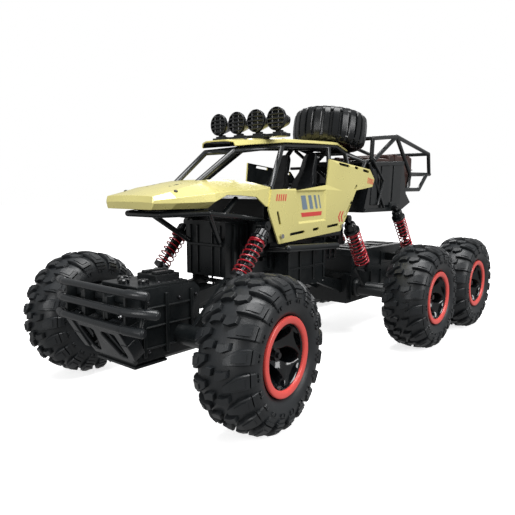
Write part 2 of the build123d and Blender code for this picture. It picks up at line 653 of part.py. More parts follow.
with BuildPart() as cover:
    add(box(TRAY_X, (-TRAY_Y, TRAY_Y), COVER_Z))
    chamfer(cover.edges().filter_by(Axis.Z), 2.0)
    for x, y in TRAY_SCREWS:
        add(rod((x, y, COVER_Z[0] - 1), (x, y, COVER_Z[1] + 1), 1.05), mode=Mode.SUBTRACT)
        add(rod((x, y, COVER_Z[0] - 1), (x, y, COVER_Z[0] + SINK), SCREW_HEAD_R + 0.1), mode=Mode.SUBTRACT)
save(cover.part, "battery_cover")

with BuildPart() as battery:
    add(box((18, 72), (-36, 36), (COVER_Z[1] + 0.05, 92)))
    fillet(battery.edges().filter_by(Axis.Y), 4.0)
save(battery.part, "battery_pack")

# ---------------------------------------------------------------- roll cage
CAGE_R = 2.4
ROOF_TOP = [(126.0, 203.0), (63.0, 210.5), (-28.0, 216.0), (-52.0, 210.5)]
ROOF_HALF = [20.0, 27.0, 27.0, 24.0]
RAIL_DROP = SKIN + CAGE_R + 0.1
rail = [(x, y - 3.5, z - RAIL_DROP) for (x, z), y in zip(ROOF_TOP, ROOF_HALF)]
rail[0] = (122.0, 17.0, 198.4)
spare_up = Vector(math.sin(math.radians(SPARE_TILT)), 0, math.cos(math.radians(SPARE_TILT)))
spare_centre = Vector(*SPARE_CENTRE)
CAGE_PATHS = [
    [(168, 12, 166), *rail, (-70, 36, 197), (-84, 37, 199)],
    [rail[1], (107, 46, 168), (107, 46, 146), (101, 40, 139)],
    [(-15, 23.3, 211), (8, 40, 172), (8, 36, 123)],
    [(172, 38, 148), (101, 40, 139), (60, 38, 124), (8, 36, 123), (-12, 30, 123)],
    [(-70, 36, 197), (-50, 34, 165), (-12, 30, 123), (-28, 20, 117)],
    [rail[3], (-50, 34, 165)],
    [(156, 38.5, 147), (140, 36, 158)],
    [(172, 38, 148), (204, 20, 147), (204, 0, 147)],
    [(172, 38, 148), (142, 19, 122), (134, 19, 117)],
    [(107, 46, 146), (107, PANEL_Y, 146)],
    [(8, 38, 148), (8, PANEL_Y, 148)],
    [(172, 30, 149), (172, 30, 162)],
    *[[point, (point[0], 0, point[2])] for point in rail],
    [(-70, 36, 197), (-70, 0, 197)],
    [(172, 38, 148), (172, 0, 148)],
]
with BuildPart() as cage:
    for path in CAGE_PATHS:
        add(tubes(both_sides(path), CAGE_R))
    add(rod(spare_centre - spare_up * 25, spare_centre + spare_up * 9, 3.0))
    add(rod(spare_centre + spare_up * 8.1, spare_centre + spare_up * 12, 6.0))
    add(box((90, 124), (PANEL_Y, PANEL_Y + 4), (100, 170)), mode=Mode.SUBTRACT)
    add(box((0, 16), (PANEL_Y, PANEL_Y + 4), (140, 156)), mode=Mode.SUBTRACT)
    add(box((90, 124), (-PANEL_Y - 4, -PANEL_Y), (100, 170)), mode=Mode.SUBTRACT)
    add(box((0, 16), (-PANEL_Y - 4, -PANEL_Y), (140, 156)), mode=Mode.SUBTRACT)
    add(tub.part, mode=Mode.SUBTRACT)
save(cage.part, "roll_cage")

# ---------------------------------------------------------------- alloy panels
# Half sections of the hood as (y, z) at each x: ridge, shoulder, top edge, lower edge of the side.
HOOD = {
    217.5: [(0, 160.5), (22, 160), (29.7, 157.4), (29.4, 156.4)],
    175.0: [(0, 171.3), (15, 170.8), (46.5, 161.5), (47, 156.8)],
    158.0: [(0, 174.3), (14, 174), (48, 164.6), (48.5, 159.5)],
    131.0: [(0, 174.5), (22, 174), (50, 165.5), (50.5, 160)],
    114.0: [(0, 173), (30, 171.8), (50.5, 167.8), (50.9, 152)],
}
HOOD_LIP = {217.5: [(29.4, 156.4), (25.4, 151.8)], 172.0: [(47, 156.6), (36.3, 152.2)]}
DOOR = [
    (113, 166), (80, 167), (76, 164), (30, 171), (27, 195), (-50, 188), (-61, 178), (-57, 170),
    (-23, 166), (-5, 137), (4, 126), (103, 120), (117, 149),
]
DOOR_SLOTS = [
    ((103.5, 142), 12.6, 71), ((77, 128), 22, -4), ((48, 130), 10, -4), ((19, 132), 20, -4),
    ((-9, 147), 21, -54), ((-22, 169), 7, -46), ((2, 190.5), 20, 5), ((-22, 188.5), 8, 6), ((-42, 186), 14, 7),
]
DOOR_SCREWS = [(100, 126.5), (3, 131)]


def skin_band(points, thickness):
    """A bent strip of sheet as a closed outline, from its right edge over to its left edge."""
    over = [(-y, z) for y, z in reversed(points) if y > 0] + list(points)
    under = [(y * (1 - thickness / max(abs(y), 10)), z - thickness) for y, z in reversed(over)]
    return over + under


def skin_section(x, outline):
    with BuildSketch(Plane.YZ.offset(x)) as section:
        with BuildLine():
            Polyline(*outline, close=True)
        make_face()
    return section.sketch


with BuildPart() as hood:
    stations = sorted(HOOD)
    for start, end in zip(stations, stations[1:]):
        bands = [skin_section(x, skin_band(HOOD[x], SKIN)) for x in (start, end)]
        loft(bands, ruled=True)
    for side in (1, -1):
        lips = []
        for x, edge in HOOD_LIP.items():
            outer = [(side * y, z) for y, z in edge]
            inner = [(side * (y - SKIN), z + 0.3) for y, z in reversed(edge)]
            lips.append(skin_section(x, outer + inner))
        loft(lips, ruled=True)
    nose = [(-25.4, 151.8), (25.4, 151.8), (29.4, 156.4), (29.7, 157.4), (22, 160), (-22, 160), (-29.7, 157.4), (-29.4, 156.4)]
    with BuildSketch(Plane.YZ.offset(217.5)):
        with BuildLine():
            Polyline(*nose, close=True)
        make_face()
    extrude(amount=-SKIN)
    add(cage.part, mode=Mode.SUBTRACT)
save(hood.part.solids().sort_by(SortBy.VOLUME)[-1], "hood")


def door_slot(centre, length, angle):
    with BuildPart() as slot:
        with BuildSketch(Plane.XZ.offset(-PANEL_Y - 4)):
            with Locations(centre):
                SlotOverall(length, 3.0, rotation=angle)
        extrude(amount=8)
    return slot.part


with BuildPart() as panel:
    add(plate(DOOR, (PANEL_Y + 0.05, PANEL_Y + 0.05 + SKIN)))
    for centre, length, angle in DOOR_SLOTS:
        add(door_slot(centre, length, angle), mode=Mode.SUBTRACT)
    for x, z in DOOR_SCREWS:
        add(cylinder_y(x, z, 1.05, (PANEL_Y - 1, PANEL_Y + 3)), mode=Mode.SUBTRACT)
save(panel.part, "side_panel_left")
save(mirrored(panel.part), "side_panel_right")

with BuildPart() as roof:
    with BuildSketch(Plane.XZ):
        with BuildLine():
            Polyline(*ROOF_TOP, *[(x, z - SKIN) for x, z in reversed(ROOF_TOP)], close=True)
        make_face()
    extrude(amount=30, both=True)
    with BuildSketch(Plane.XY.offset(195)):
        with BuildLine():
            half = [(x, y) for (x, z), y in zip(ROOF_TOP, ROOF_HALF)]
            Polyline(*half, *[(x, -y) for x, y in reversed(half)], close=True)
        make_face()
    extrude(amount=30, mode=Mode.INTERSECT)
    add(cage.part, mode=Mode.SUBTRACT)
save(roof.part, "roof_panel")

with BuildPart() as screws:
    for x, z in DOOR_SCREWS:
        for side in (1, -1):
            face = side * (PANEL_Y + 0.05 + SKIN)
            add(rod((x, face, z), (x, face + side * 1.3, z), SCREW_HEAD_R))
            add(rod((x, face - side * 3.0, z), (x, face, z), 1.0))
    for x, y in TRAY_SCREWS:
        add(rod((x, y, COVER_Z[0] + 0.1), (x, y, COVER_Z[0] + SINK), SCREW_HEAD_R))
        add(rod((x, y, COVER_Z[0] + SINK), (x, y, TRAY_Z[0] + 5), 1.0))
save(screws.part, "body_screws")

# ---------------------------------------------------------------- cockpit
FLOOR_Z = (120.1, 122.0)
with BuildPart() as floor:
    add(box((-6, 112), (-44, 44), FLOOR_Z))
    add(box((98, 112), (-42, 42), (FLOOR_Z[0], 156)))
    add(box((86, 112), (-42, 42), (147, 160)))
    chamfer(floor.edges().filter_by(Axis.Y).group_by(Axis.Z)[-1], 3.0)
    add(box((84, 98.0), (14.5, 17.5), (148, 152)))
    add(rod((88, 16, 154), (76, 16, 161), 2.0))
    with BuildSketch(Plane(origin=(76, 16, 161), z_dir=(-12, 0, 7))):
        Circle(11.0)
        Circle(8.8, mode=Mode.SUBTRACT)
        Rectangle(19, 2.2)
        Rectangle(2.2, 19)
    extrude(amount=2.2)
    for y in (-17.0, 17.0):
        add(box((26, 62), (y - 12, y + 12), (FLOOR_Z[0], 140)))
        with BuildSketch(Plane.XZ.offset(-y - 11)):
            with BuildLine():
                Polyline((40, 124), (24, 124), (2, 190), (12, 194), (34, 150), close=True)
            make_face()
        extrude(amount=22)
        for edge_y in (y - 12, y + 9):
            add(plate([(30, 150), (20, 150), (6, 186), (12, 190), (26, 172)], (edge_y, edge_y + 3)))
    add(cage.part, mode=Mode.SUBTRACT)
    add(tub.part, mode=Mode.SUBTRACT)
save(solids_of(*[solid for solid in floor.part.solids() if solid.volume > 200]), "cockpit")

# ---------------------------------------------------------------- lamps
LAMP_YS = [LAMP_PITCH * (index - 1.5) for index in range(4)]
LAMP_DEPTH, LAMP_WALL = 12.0, 1.2
with BuildPart() as lamps:
    for y in LAMP_YS:
        front, back = LAMP_X + LAMP_DEPTH / 2, LAMP_X - LAMP_DEPTH / 2
        add(rod((back, y, LAMP_Z), (front, y, LAMP_Z), LAMP_R))
        add(rod((back + 2, y, LAMP_Z), (front + 1, y, LAMP_Z), LAMP_R - LAMP_WALL), mode=Mode.SUBTRACT)
        for z in (-6, -2, 2, 6):
            reach = math.sqrt((LAMP_R - 0.5) ** 2 - z**2)
            add(box((front - 1.6, front), (y - reach, y + reach), (LAMP_Z + z - 0.6, LAMP_Z + z + 0.6)))
        add(box((front - 1.6, front - 0.4), (y - 0.6, y + 0.6), (LAMP_Z - 10, LAMP_Z + 10)))

with BuildPart() as lenses:
    for y in LAMP_YS:
        add(rod((LAMP_X, y, LAMP_Z), (LAMP_X + 2, y, LAMP_Z), LAMP_R - LAMP_WALL - 0.05))
save(lenses.part, "lamp_lenses")

with BuildPart() as light_bar:
    add(box((LAMP_X - 6, LAMP_X + 6), (-45, 45), (212.5, 215)))
    chamfer(light_bar.edges().filter_by(Axis.Z), 3.0)
    for y in LAMP_YS:
        add(box((LAMP_X - 3, LAMP_X + 3), (y - 3, y + 3), (214, LAMP_Z - LAMP_R + 1.5)))
    for y in (-16.0, 16.0):
        add(box((LAMP_X - 5, LAMP_X + 5), (y - 4, y + 4), (206, 213)))
    for other in (roof, lamps, cage):
        add(other.part, mode=Mode.SUBTRACT)
save(solids_of(light_bar.part.solids().sort_by(SortBy.VOLUME)[-1], lamps.part), "light_bar")

# ---------------------------------------------------------------- spare wheel
SPARE_BEAD_R = 19.0
SPARE_BEAD_Y = SPARE_WIDTH / 2 - 5.0


def onto_roof(part):
    """Lays a wheel flat on the roof, its outer side up."""
    flat = part.moved(Location((0, 0, 0), (1, 0, 0), 90))
    return flat.moved(Location((0, 0, 0), (0, 1, 0), SPARE_TILT)).moved(Location(SPARE_CENTRE))


save(onto_roof(tyre(SPARE_RADIUS, SPARE_WIDTH, SPARE_BEAD_R)), "spare_tyre")
save(onto_roof(rim(SPARE_BEAD_R - 0.1, SPARE_BEAD_Y, 3.05, 8.0)), "spare_rim")

# ---------------------------------------------------------------- cargo bed, rack and case
BED = [(-58, 142), (-80, 198), (-154, 202), (-164, 163), (-177, 152), (-150, 142)]
BED_INSIDE = [(-62, 144.5), (-84, 206), (-151, 206), (-161, 164), (-172, 154.5), (-151, 144.5)]
CASE_X, CASE_Y, CASE_Z = (-214.0, -146.0), 27.0, (170.3, 211.0)
LOAD_X, LOAD_Y, LOAD_Z = (-145.7, -90.0), 30.0, (144.6, 205.0)
SHELF_Z = (167.5, 170.2)
with BuildPart() as bed:
    add(plate(BED, (-BED_Y, BED_Y)))
    add(plate(BED_INSIDE, (2.5 - BED_Y, BED_Y - 2.5)), mode=Mode.SUBTRACT)
    add(box((-190, CASE_X[1] + 1), (-CASE_Y - 1.5, CASE_Y + 1.5), (SHELF_Z[1], 206)), mode=Mode.SUBTRACT)
    add(pair(eye_pin(*DAMPERS["rear"][0], BED_Y - 1)))
    add(cage.part, mode=Mode.SUBTRACT)
save(bed.part, "cargo_bed")

RACK_PATHS = [
    [(-84, RACK_Y, 200.5), (-137, RACK_Y, 230), (-178, RACK_Y, 187), (-172, RACK_Y, 169)],
    [(-77, RACK_Y, 200.5), (-75, 42, 223), (-137, RACK_Y, 230)],
    [(-137, RACK_Y, 230), (-233, RACK_Y, 215), (-242, 38, 190)],
    [(-178, RACK_Y, 187), (-253.6, 34, 189), (-253.6, 0, 189)],
    [(-236, 37.5, 188.5), (-206, RACK_Y, 168), (-160, RACK_Y, 167.5)],
    [(-137, RACK_Y, 230), (-137, 0, 230)],
    [(-233, RACK_Y, 215), (-233, 0, 215)],
    [(-206, RACK_Y, 168), (-206, 0, 168)],
    [(-236, 37.5, 188.5), (-236, 0, 188.5)],
]
with BuildPart() as rack:
    for path in RACK_PATHS:
        add(tubes(both_sides(path), CAGE_R))
    add(box((-206, -158), (-RACK_Y, RACK_Y), SHELF_Z))
    add(box((-252, -236), (-34, 34), (187.6, 190)))
    case_room = box((CASE_X[0] - 0.1, CASE_X[1]), (-CASE_Y, CASE_Y), (SHELF_Z[1], CASE_Z[1] + 8))
    add(case_room, mode=Mode.SUBTRACT)
    add(bed.part, mode=Mode.SUBTRACT)
    add(cage.part, mode=Mode.SUBTRACT)
save(rack.part.solids().sort_by(SortBy.VOLUME)[-1], "bed_rack")


def soft_block(x, y, z):
    """A packed load with rounded upright corners and top edges."""
    with BuildPart() as load:
        add(box(x, (-y, y), z))
        fillet(load.edges().filter_by(Axis.Z), 3.0)
        fillet(load.faces().sort_by(Axis.Z)[-1].edges(), 3.0)
    return load.part


case = soft_block(CASE_X, CASE_Y, CASE_Z)
load = soft_block(LOAD_X, LOAD_Y, LOAD_Z)
save(solids_of(case, load), "cargo_case")

# ---------------------------------------------------------------- servo lead
LEAD_ROUTE = [
    (131.8, 0, SPINE_Z[0]), (131.8, 0, 86), (128.6, 0, 80.2), (123.6, 0.3, 76.5), (120.2, 0.3, 71.8), (121.2, 0, 66.8),
    (125.6, 0, 64.6), (129.8, 0, 67.8), (132.6, 0, GROMMET_Z), (137.4, 0, GROMMET_Z),
]


def cord_radii(route):
    """The largest fair arc at each corner of a route."""
    radii = []
    for before, corner, after in zip(route, route[1:], route[2:]):
        into = Vector(*corner) - Vector(*before)
        out = Vector(*after) - Vector(*corner)
        turn = math.radians(into.get_angle(out))
        radii.append(0.45 * min(into.length, out.length) / math.tan(turn / 2))
    return radii


lead_radii = cord_radii(LEAD_ROUTE)
print("lead radii", [round(radius, 1) for radius in lead_radii])
with BuildPart() as lead:
    with BuildLine() as lead_line:
        FilletPolyline(*LEAD_ROUTE, radius=lead_radii)
    with BuildSketch(Plane(origin=lead_line.line @ 0, z_dir=lead_line.line % 0)):
        Circle(LEAD_R)
    sweep()
save(lead.part, "motor_lead")
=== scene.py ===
"""The looks of a six-wheel crawler buggy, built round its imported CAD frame. Shapes are in millimetres."""

import math

import bmesh
import bpy
from mathutils import Matrix, Quaternion, Vector
from mathutils.bvhtree import BVHTree


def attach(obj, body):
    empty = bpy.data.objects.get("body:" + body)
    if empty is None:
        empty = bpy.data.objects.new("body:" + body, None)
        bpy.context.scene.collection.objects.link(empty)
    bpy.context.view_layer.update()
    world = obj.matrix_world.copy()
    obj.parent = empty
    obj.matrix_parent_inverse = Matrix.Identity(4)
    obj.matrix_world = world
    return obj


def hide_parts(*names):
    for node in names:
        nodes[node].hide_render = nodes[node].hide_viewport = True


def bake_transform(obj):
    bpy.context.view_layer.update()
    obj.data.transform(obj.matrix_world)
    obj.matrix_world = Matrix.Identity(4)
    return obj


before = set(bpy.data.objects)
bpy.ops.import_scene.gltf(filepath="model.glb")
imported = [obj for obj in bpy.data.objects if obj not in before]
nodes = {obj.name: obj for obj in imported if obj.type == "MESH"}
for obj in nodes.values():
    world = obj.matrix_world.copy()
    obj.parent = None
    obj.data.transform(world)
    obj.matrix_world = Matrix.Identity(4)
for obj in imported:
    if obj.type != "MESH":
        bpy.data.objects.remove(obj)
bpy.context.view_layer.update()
scene = bpy.context.scene

MM = 0.001
FRONT_X, MIDDLE_X, REAR_X = 190.0, -76.0, -196.0
WHEEL_Y, AXLE_Z, KINGPIN_Y, STEER_REST = 104.0, 55.0, 72.0, 6.3


# ---------------------------------------------------------------- materials
def material(name, colour, rough, metallic=0.0, coat=0.0, spread=0.10, mottle=45.0,
             grain=700.0, bump=0.12, rough_spread=0.07, coat_rough=0.1, transmission=0.0, ior=1.5):
    """A Principled finish with mottled colour, uneven roughness and a fine surface grain."""
    mat = bpy.data.materials.new(name)
    mat.use_nodes = True
    tree = mat.node_tree
    link, new = tree.links.new, tree.nodes.new
    shader = tree.nodes["Principled BSDF"]
    shader.inputs["Metallic"].default_value = metallic
    shader.inputs["Coat Weight"].default_value = coat
    shader.inputs["Coat Roughness"].default_value = coat_rough
    shader.inputs["Transmission Weight"].default_value = transmission
    shader.inputs["IOR"].default_value = ior
    place = new("ShaderNodeTexCoord")
    cloud = new("ShaderNodeTexNoise")
    cloud.inputs["Scale"].default_value = mottle
    cloud.inputs["Detail"].default_value = 5.0
    ramp = new("ShaderNodeValToRGB")
    for stop, (at, share) in zip(ramp.color_ramp.elements, ((0.3, 1 - spread), (0.7, 1 + spread))):
        stop.position = at
        stop.color = (*[min(1.0, c * share) for c in colour], 1.0)
    link(place.outputs["Object"], cloud.inputs["Vector"])
    link(cloud.outputs["Fac"], ramp.inputs["Fac"])
    link(ramp.outputs["Color"], shader.inputs["Base Color"])
    patch = new("ShaderNodeTexNoise")
    patch.inputs["Scale"].default_value = mottle * 3.1
    patch.inputs["Detail"].default_value = 6.0
    spread_map = new("ShaderNodeMapRange")
    spread_map.inputs["From Min"].default_value = 0.3
    spread_map.inputs["From Max"].default_value = 0.7
    spread_map.inputs["To Min"].default_value = max(0.02, rough - rough_spread)
    spread_map.inputs["To Max"].default_value = min(1.0, rough + rough_spread)
    link(place.outputs["Object"], patch.inputs["Vector"])
    link(patch.outputs["Fac"], spread_map.inputs["Value"])
    link(spread_map.outputs["Result"], shader.inputs["Roughness"])
    fine = new("ShaderNodeTexNoise")
    fine.inputs["Scale"].default_value = grain
    fine.inputs["Detail"].default_value = 3.0
    relief = new("ShaderNodeBump")
    relief.inputs["Strength"].default_value = bump
    relief.inputs["Distance"].default_value = 0.0003
    link(place.outputs["Object"], fine.inputs["Vector"])
    link(fine.outputs["Fac"], relief.inputs["Height"])
    link(relief.outputs["Normal"], shader.inputs["Normal"])
    return mat


RUBBER = material("tyre_rubber", (0.011, 0.013, 0.015), 0.42, spread=0.20, bump=0.25, grain=900, mottle=35)
SPARE_RUBBER = material("spare_rubber", (0.005, 0.006, 0.007), 0.24, spread=0.15, bump=0.10, mottle=40)
RIM_GLOSS = material("rim_gloss", (0.004, 0.005, 0.006), 0.10, coat=0.3, spread=0.1, bump=0.03)
SATIN = material("satin_plastic", (0.007, 0.009, 0.010), 0.34, spread=0.15, bump=0.18, grain=1100)
GLOSS = material("gloss_plastic", (0.005, 0.006, 0.007), 0.20, coat=0.2, spread=0.12, bump=0.08)
BUMPER = material("bumper_plastic", (0.012, 0.014, 0.016), 0.30, spread=0.12, bump=0.20, grain=1200)
CAGE = material("cage_plastic", (0.008, 0.010, 0.011), 0.26, coat=0.15, spread=0.12, bump=0.1)
GOLD = material("gold_paint", (0.82, 0.74, 0.275), 0.28, metallic=0.30, coat=0.5, spread=0.03, bump=0.04,
                coat_rough=0.12, rough_spread=0.04, mottle=20)
BEAD = material("bead_red", (0.76, 0.080, 0.065), 0.34, coat=0.25, spread=0.05, bump=0.06)
SPRING = material("spring_red", (0.40, 0.008, 0.020), 0.24, metallic=0.2, coat=0.6, spread=0.10, bump=0.04)
PRINT = material("print_red", (0.62, 0.06, 0.05), 0.42, spread=0.05, bump=0.04)
PRINT_GREY = material("print_grey", (0.17, 0.23, 0.29), 0.40, spread=0.12, bump=0.04)
STEEL = material("shaft_steel", (0.50, 0.50, 0.51), 0.24, metallic=1.0, spread=0.08, bump=0.08)
DARK_STEEL = material("dark_steel", (0.06, 0.06, 0.065), 0.30, metallic=0.9, spread=0.12, bump=0.08)
NYLON = material("gear_nylon", (0.60, 0.58, 0.52), 0.45, spread=0.06, bump=0.10)
BROWN = material("case_brown", (0.045, 0.020, 0.016), 0.36, spread=0.25, bump=0.30, mottle=60)
SPARE_BROWN = material("spare_rim_brown", (0.10, 0.025, 0.018), 0.35, coat=0.2, spread=0.2, bump=0.15)
CLOTH = material("seat_plastic", (0.006, 0.007, 0.008), 0.36, spread=0.15, bump=0.25, grain=900)
WRAP = material("battery_wrap", (0.02, 0.06, 0.15), 0.35, coat=0.2, spread=0.10)
LENS = material("lens_smoked", (0.05, 0.055, 0.06), 0.08, spread=0.04, transmission=0.5, ior=1.49, bump=0.03)
LEAD = material("lead_black", (0.005, 0.005, 0.006), 0.36, spread=0.15, bump=0.12)


# ---------------------------------------------------------------- shapes
class Shape:
    """Closed solids gathered into one mesh, in millimetres."""

    def __init__(self):
        self.verts, self.faces = [], []

    def add(self, verts, faces):
        base = len(self.verts)
        self.verts += [Vector(v) for v in verts]
        self.faces += [[base + i for i in face] for face in faces]
        return self

    def loft(self, rings, loop=False):
        """Skins a row of rings of equal length, with flat ends unless the row closes on itself."""
        count, size = len(rings), len(rings[0])
        faces = []
        for a in range(count if loop else count - 1):
            b = (a + 1) % count
            faces += [
                [a * size + i, a * size + (i + 1) % size, b * size + (i + 1) % size, b * size + i]
                for i in range(size)
            ]
        if not loop:
            faces += [list(range(size)), [(count - 1) * size + i for i in range(size)]]
        return self.add([p for ring in rings for p in ring], faces)

    def prism(self, outline, offset):
        """A flat outline drawn out along an offset."""
        step = Vector(offset)
        return self.loft([[Vector(p) for p in outline], [Vector(p) + step for p in outline]])

    def slab(self, outline, y, thick):
        """A prism of an outline in (x, z) that starts at y and is thick along Y."""
        return self.prism([(x, y, z) for x, z in outline], (0, thick, 0))

    def box(self, x, y, z):
        return self.prism([(x[0], y[0], z[0]), (x[1], y[0], z[0]), (x[1], y[1], z[0]), (x[0], y[1], z[0])],
                          (0, 0, z[1] - z[0]))

    def tube(self, path, radius, sides=14, bend=0.0, closed=False):
        """A round bar along points, its corners eased over the bend distance."""
        points = ease([Vector(p) for p in path], bend)
        radii = radius if isinstance(radius, (list, tuple)) else [radius] * len(points)
        rings = []
        count = len(points)
        normal = None
        for i, point in enumerate(points):
            if closed:
                ahead, behind = points[(i + 1) % count], points[i - 1]
            else:
                ahead, behind = points[min(i + 1, count - 1)], points[max(i - 1, 0)]
            tangent = (ahead - behind).normalized()
            if normal is None:
                spare = Vector((0, 0, 1)) if abs(tangent.z) < 0.9 else Vector((1, 0, 0))
                normal = tangent.cross(spare).normalized()
            normal = (normal - tangent * normal.dot(tangent)).normalized()
            side = tangent.cross(normal)
            rings.append([
                point + radii[i] * (normal * math.cos(2 * math.pi * k / sides)
                                    + side * math.sin(2 * math.pi * k / sides))
                for k in range(sides)
            ])
        return self.loft(rings, loop=closed)

    def turned(self, profile, steps=64, centre=(0, 0, 0), axis="y"):
        """A closed (radius, height) outline turned about an axis."""
        cx, cy, cz = centre
        rings = []
        for k in range(steps):
            c, s = math.cos(2 * math.pi * k / steps), math.sin(2 * math.pi * k / steps)
            if axis == "y":
                rings.append([(cx + r * c, cy + h, cz + r * s) for r, h in profile])
            elif axis == "x":
                rings.append([(cx + h, cy + r * c, cz + r * s) for r, h in profile])
            else:
                rings.append([(cx + r * c, cy + r * s, cz + h) for r, h in profile])
        return self.loft(rings, loop=True)

    def mirror(self):
        """Adds the mirror image of everything so far, across the XZ plane."""
        twin = [(v.x, -v.y, v.z) for v in self.verts]
        return self.add(twin, [list(reversed(face)) for face in self.faces])

    def moved(self, matrix):
        made = Shape()
        made.verts = [matrix @ v for v in self.verts]
        made.faces = [list(face) for face in self.faces]
        return made

    def join(self, other):
        return self.add(other.verts, other.faces)


def ease(points, bend):
    """Replaces each inner corner of a path by a short arc that starts the bend distance away."""
    if bend <= 0 or len(points) < 3:
        return points
    eased = [points[0]]
    for before, corner, after in zip(points, points[1:], points[2:]):
        into, out = before - corner, after - corner
        reach = min(bend, into.length * 0.45, out.length * 0.45)
        a, b = corner + into.normalized() * reach, corner + out.normalized() * reach
        for k in range(6):
            t = k / 5
            eased.append(a * (1 - t) ** 2 + corner * 2 * t * (1 - t) + b * t * t)
    return eased + [points[-1]]


def piece(name, shape, body, mat, stands_for=(), slot=None, bevel=0.0, segments=2, sharp=32):
    """Makes a mesh piece from a shape, finishes its edges and puts it on its body."""
    mesh = bpy.data.meshes.new(name)
    mesh.from_pydata([v * MM for v in shape.verts], [], shape.faces)
    work = bmesh.new()
    work.from_mesh(mesh)
    bmesh.ops.recalc_face_normals(work, faces=work.faces)
    work.to_mesh(mesh)
    work.free()
    mesh.materials.append(mat)
    mesh.shade_smooth()
    if not bevel:
        mesh.set_sharp_from_angle(angle=math.radians(sharp))
    obj = bpy.data.objects.new(name, mesh)
    scene.collection.objects.link(obj)
    if bevel:
        edge = obj.modifiers.new("bevel", "BEVEL")
        edge.width = bevel * MM
        edge.segments = segments
        edge.limit_method = "ANGLE"
        edge.angle_limit = math.radians(sharp)
        edge.harden_normals = True
    return place(obj, body, stands_for, slot)


def settle(obj):
    """Keeps the shape that an object's modifiers give it."""
    made = bpy.data.meshes.new_from_object(obj.evaluated_get(bpy.context.evaluated_depsgraph_get()))
    obj.modifiers.clear()
    obj.data = made


def panel(name, points, faces, inside, cuts, stands_for, bevel=0.7, angle=10):
    """A bent sheet 1.5 mm thick with slots, laid inwards from its painted outer faces."""
    mesh = bpy.data.meshes.new(name)
    mesh.from_pydata([Vector(p) * MM for p in points], [], faces)
    work = bmesh.new()
    work.from_mesh(mesh)
    bmesh.ops.remove_doubles(work, verts=work.verts, dist=0.00005)
    bmesh.ops.recalc_face_normals(work, faces=work.faces)
    centre = Vector(inside) * MM
    if sum(f.normal.dot(f.calc_center_median() - centre) * f.calc_area() for f in work.faces) < 0:
        bmesh.ops.reverse_faces(work, faces=work.faces)
    work.to_mesh(mesh)
    work.free()
    mesh.materials.append(GOLD)
    mesh.materials.append(SATIN)
    obj = bpy.data.objects.new(name, mesh)
    scene.collection.objects.link(obj)
    skin = obj.modifiers.new("skin", "SOLIDIFY")
    skin.thickness, skin.offset, skin.use_even_offset = 1.5 * MM, -1.0, True
    skin.material_offset = 1
    tool = None
    if cuts:
        tool = piece("slot_tool", cuts, None, GOLD)
        cut = obj.modifiers.new("cut", "BOOLEAN")
        cut.operation, cut.object, cut.solver = "DIFFERENCE", tool, "EXACT"
    settle(obj)
    if tool:
        bpy.data.objects.remove(tool)
    obj.data.shade_smooth()
    edge = obj.modifiers.new("bevel", "BEVEL")
    edge.width, edge.segments = bevel * MM, 2
    edge.limit_method, edge.angle_limit = "ANGLE", math.radians(angle)
    edge.harden_normals = True
    return place(obj, "chassis", stands_for, "panel_gold")


def stadium(centre, length, width, angle=0.0, rounds=6):
    """A slot outline in a plane."""
    reach, half = (length - width) / 2, width / 2
    turn = math.radians(angle)
    points = []
    for end, start in ((1, -90), (-1, 90)):
        for k in range(rounds + 1):
            swing = math.radians(start + 180 * k / rounds)
            a, b = end * reach + half * math.cos(swing), half * math.sin(swing)
            points.append((centre[0] + a * math.cos(turn) - b * math.sin(turn),
                           centre[1] + a * math.sin(turn) + b * math.cos(turn)))
    return points


def place(obj, body, stands_for=(), slot=None):
    if body:
        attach(obj, body)
    if stands_for:
        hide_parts(*stands_for)
    return obj


def twin(obj, name, matrix, body, stands_for=(), slot=None):
    """Another piece with the same mesh, placed by a matrix in millimetres."""
    other = bpy.data.objects.new(name, obj.data)
    for mod in obj.modifiers:
        copy = other.modifiers.new(mod.name, mod.type)
        for key in ("width", "segments", "limit_method", "angle_limit", "harden_normals"):
            if hasattr(mod, key):
                setattr(copy, key, getattr(mod, key))
    scene.collection.objects.link(other)
    scaled = matrix.copy()
    scaled.translation = matrix.translation * MM
    other.matrix_world = scaled
    return place(other, body, stands_for, slot)


def arc(values):
    """Catmull-Rom points through the given ones, four to a span."""
    pts = [Vector(v) for v in values]
    ends = [pts[0] * 2 - pts[1], *pts, pts[-1] * 2 - pts[-2]]
    out = []
    for p0, p1, p2, p3 in zip(ends, ends[1:], ends[2:], ends[3:]):
        for k in range(4):
            t = k / 4
            out.append(0.5 * (2 * p1 + (p2 - p0) * t + (2 * p0 - 5 * p1 + 4 * p2 - p3) * t * t
                              + (3 * p1 - p0 - 3 * p2 + p3) * t ** 3))
    return out + [pts[-1]]


# ---------------------------------------------------------------- tyres
TYRE_R = 55.0
# half of the carcass as (radius, height) from the crown to the bead
CARCASS = [(51.8, 0), (51.4, 6), (50.1, 12), (47.2, 17.6), (42.9, 21.1), (38.0, 22.3), (33.4, 21.7),
           (30.4, 20.3), (28.3, 18.4)]
PITCHES = 20


def on_carcass(line, s):
    """The point and the outward normal at a share s of the half profile."""
    span = s * (len(line) - 1)
    i = min(int(span), len(line) - 2)
    run = (line[i + 1] - line[i]).normalized()
    return line[i].lerp(line[i + 1], span - i), Vector((run.y, -run.x))


def wheel_point(r, y, angle):
    return Vector((r * math.cos(angle), y, r * math.sin(angle)))


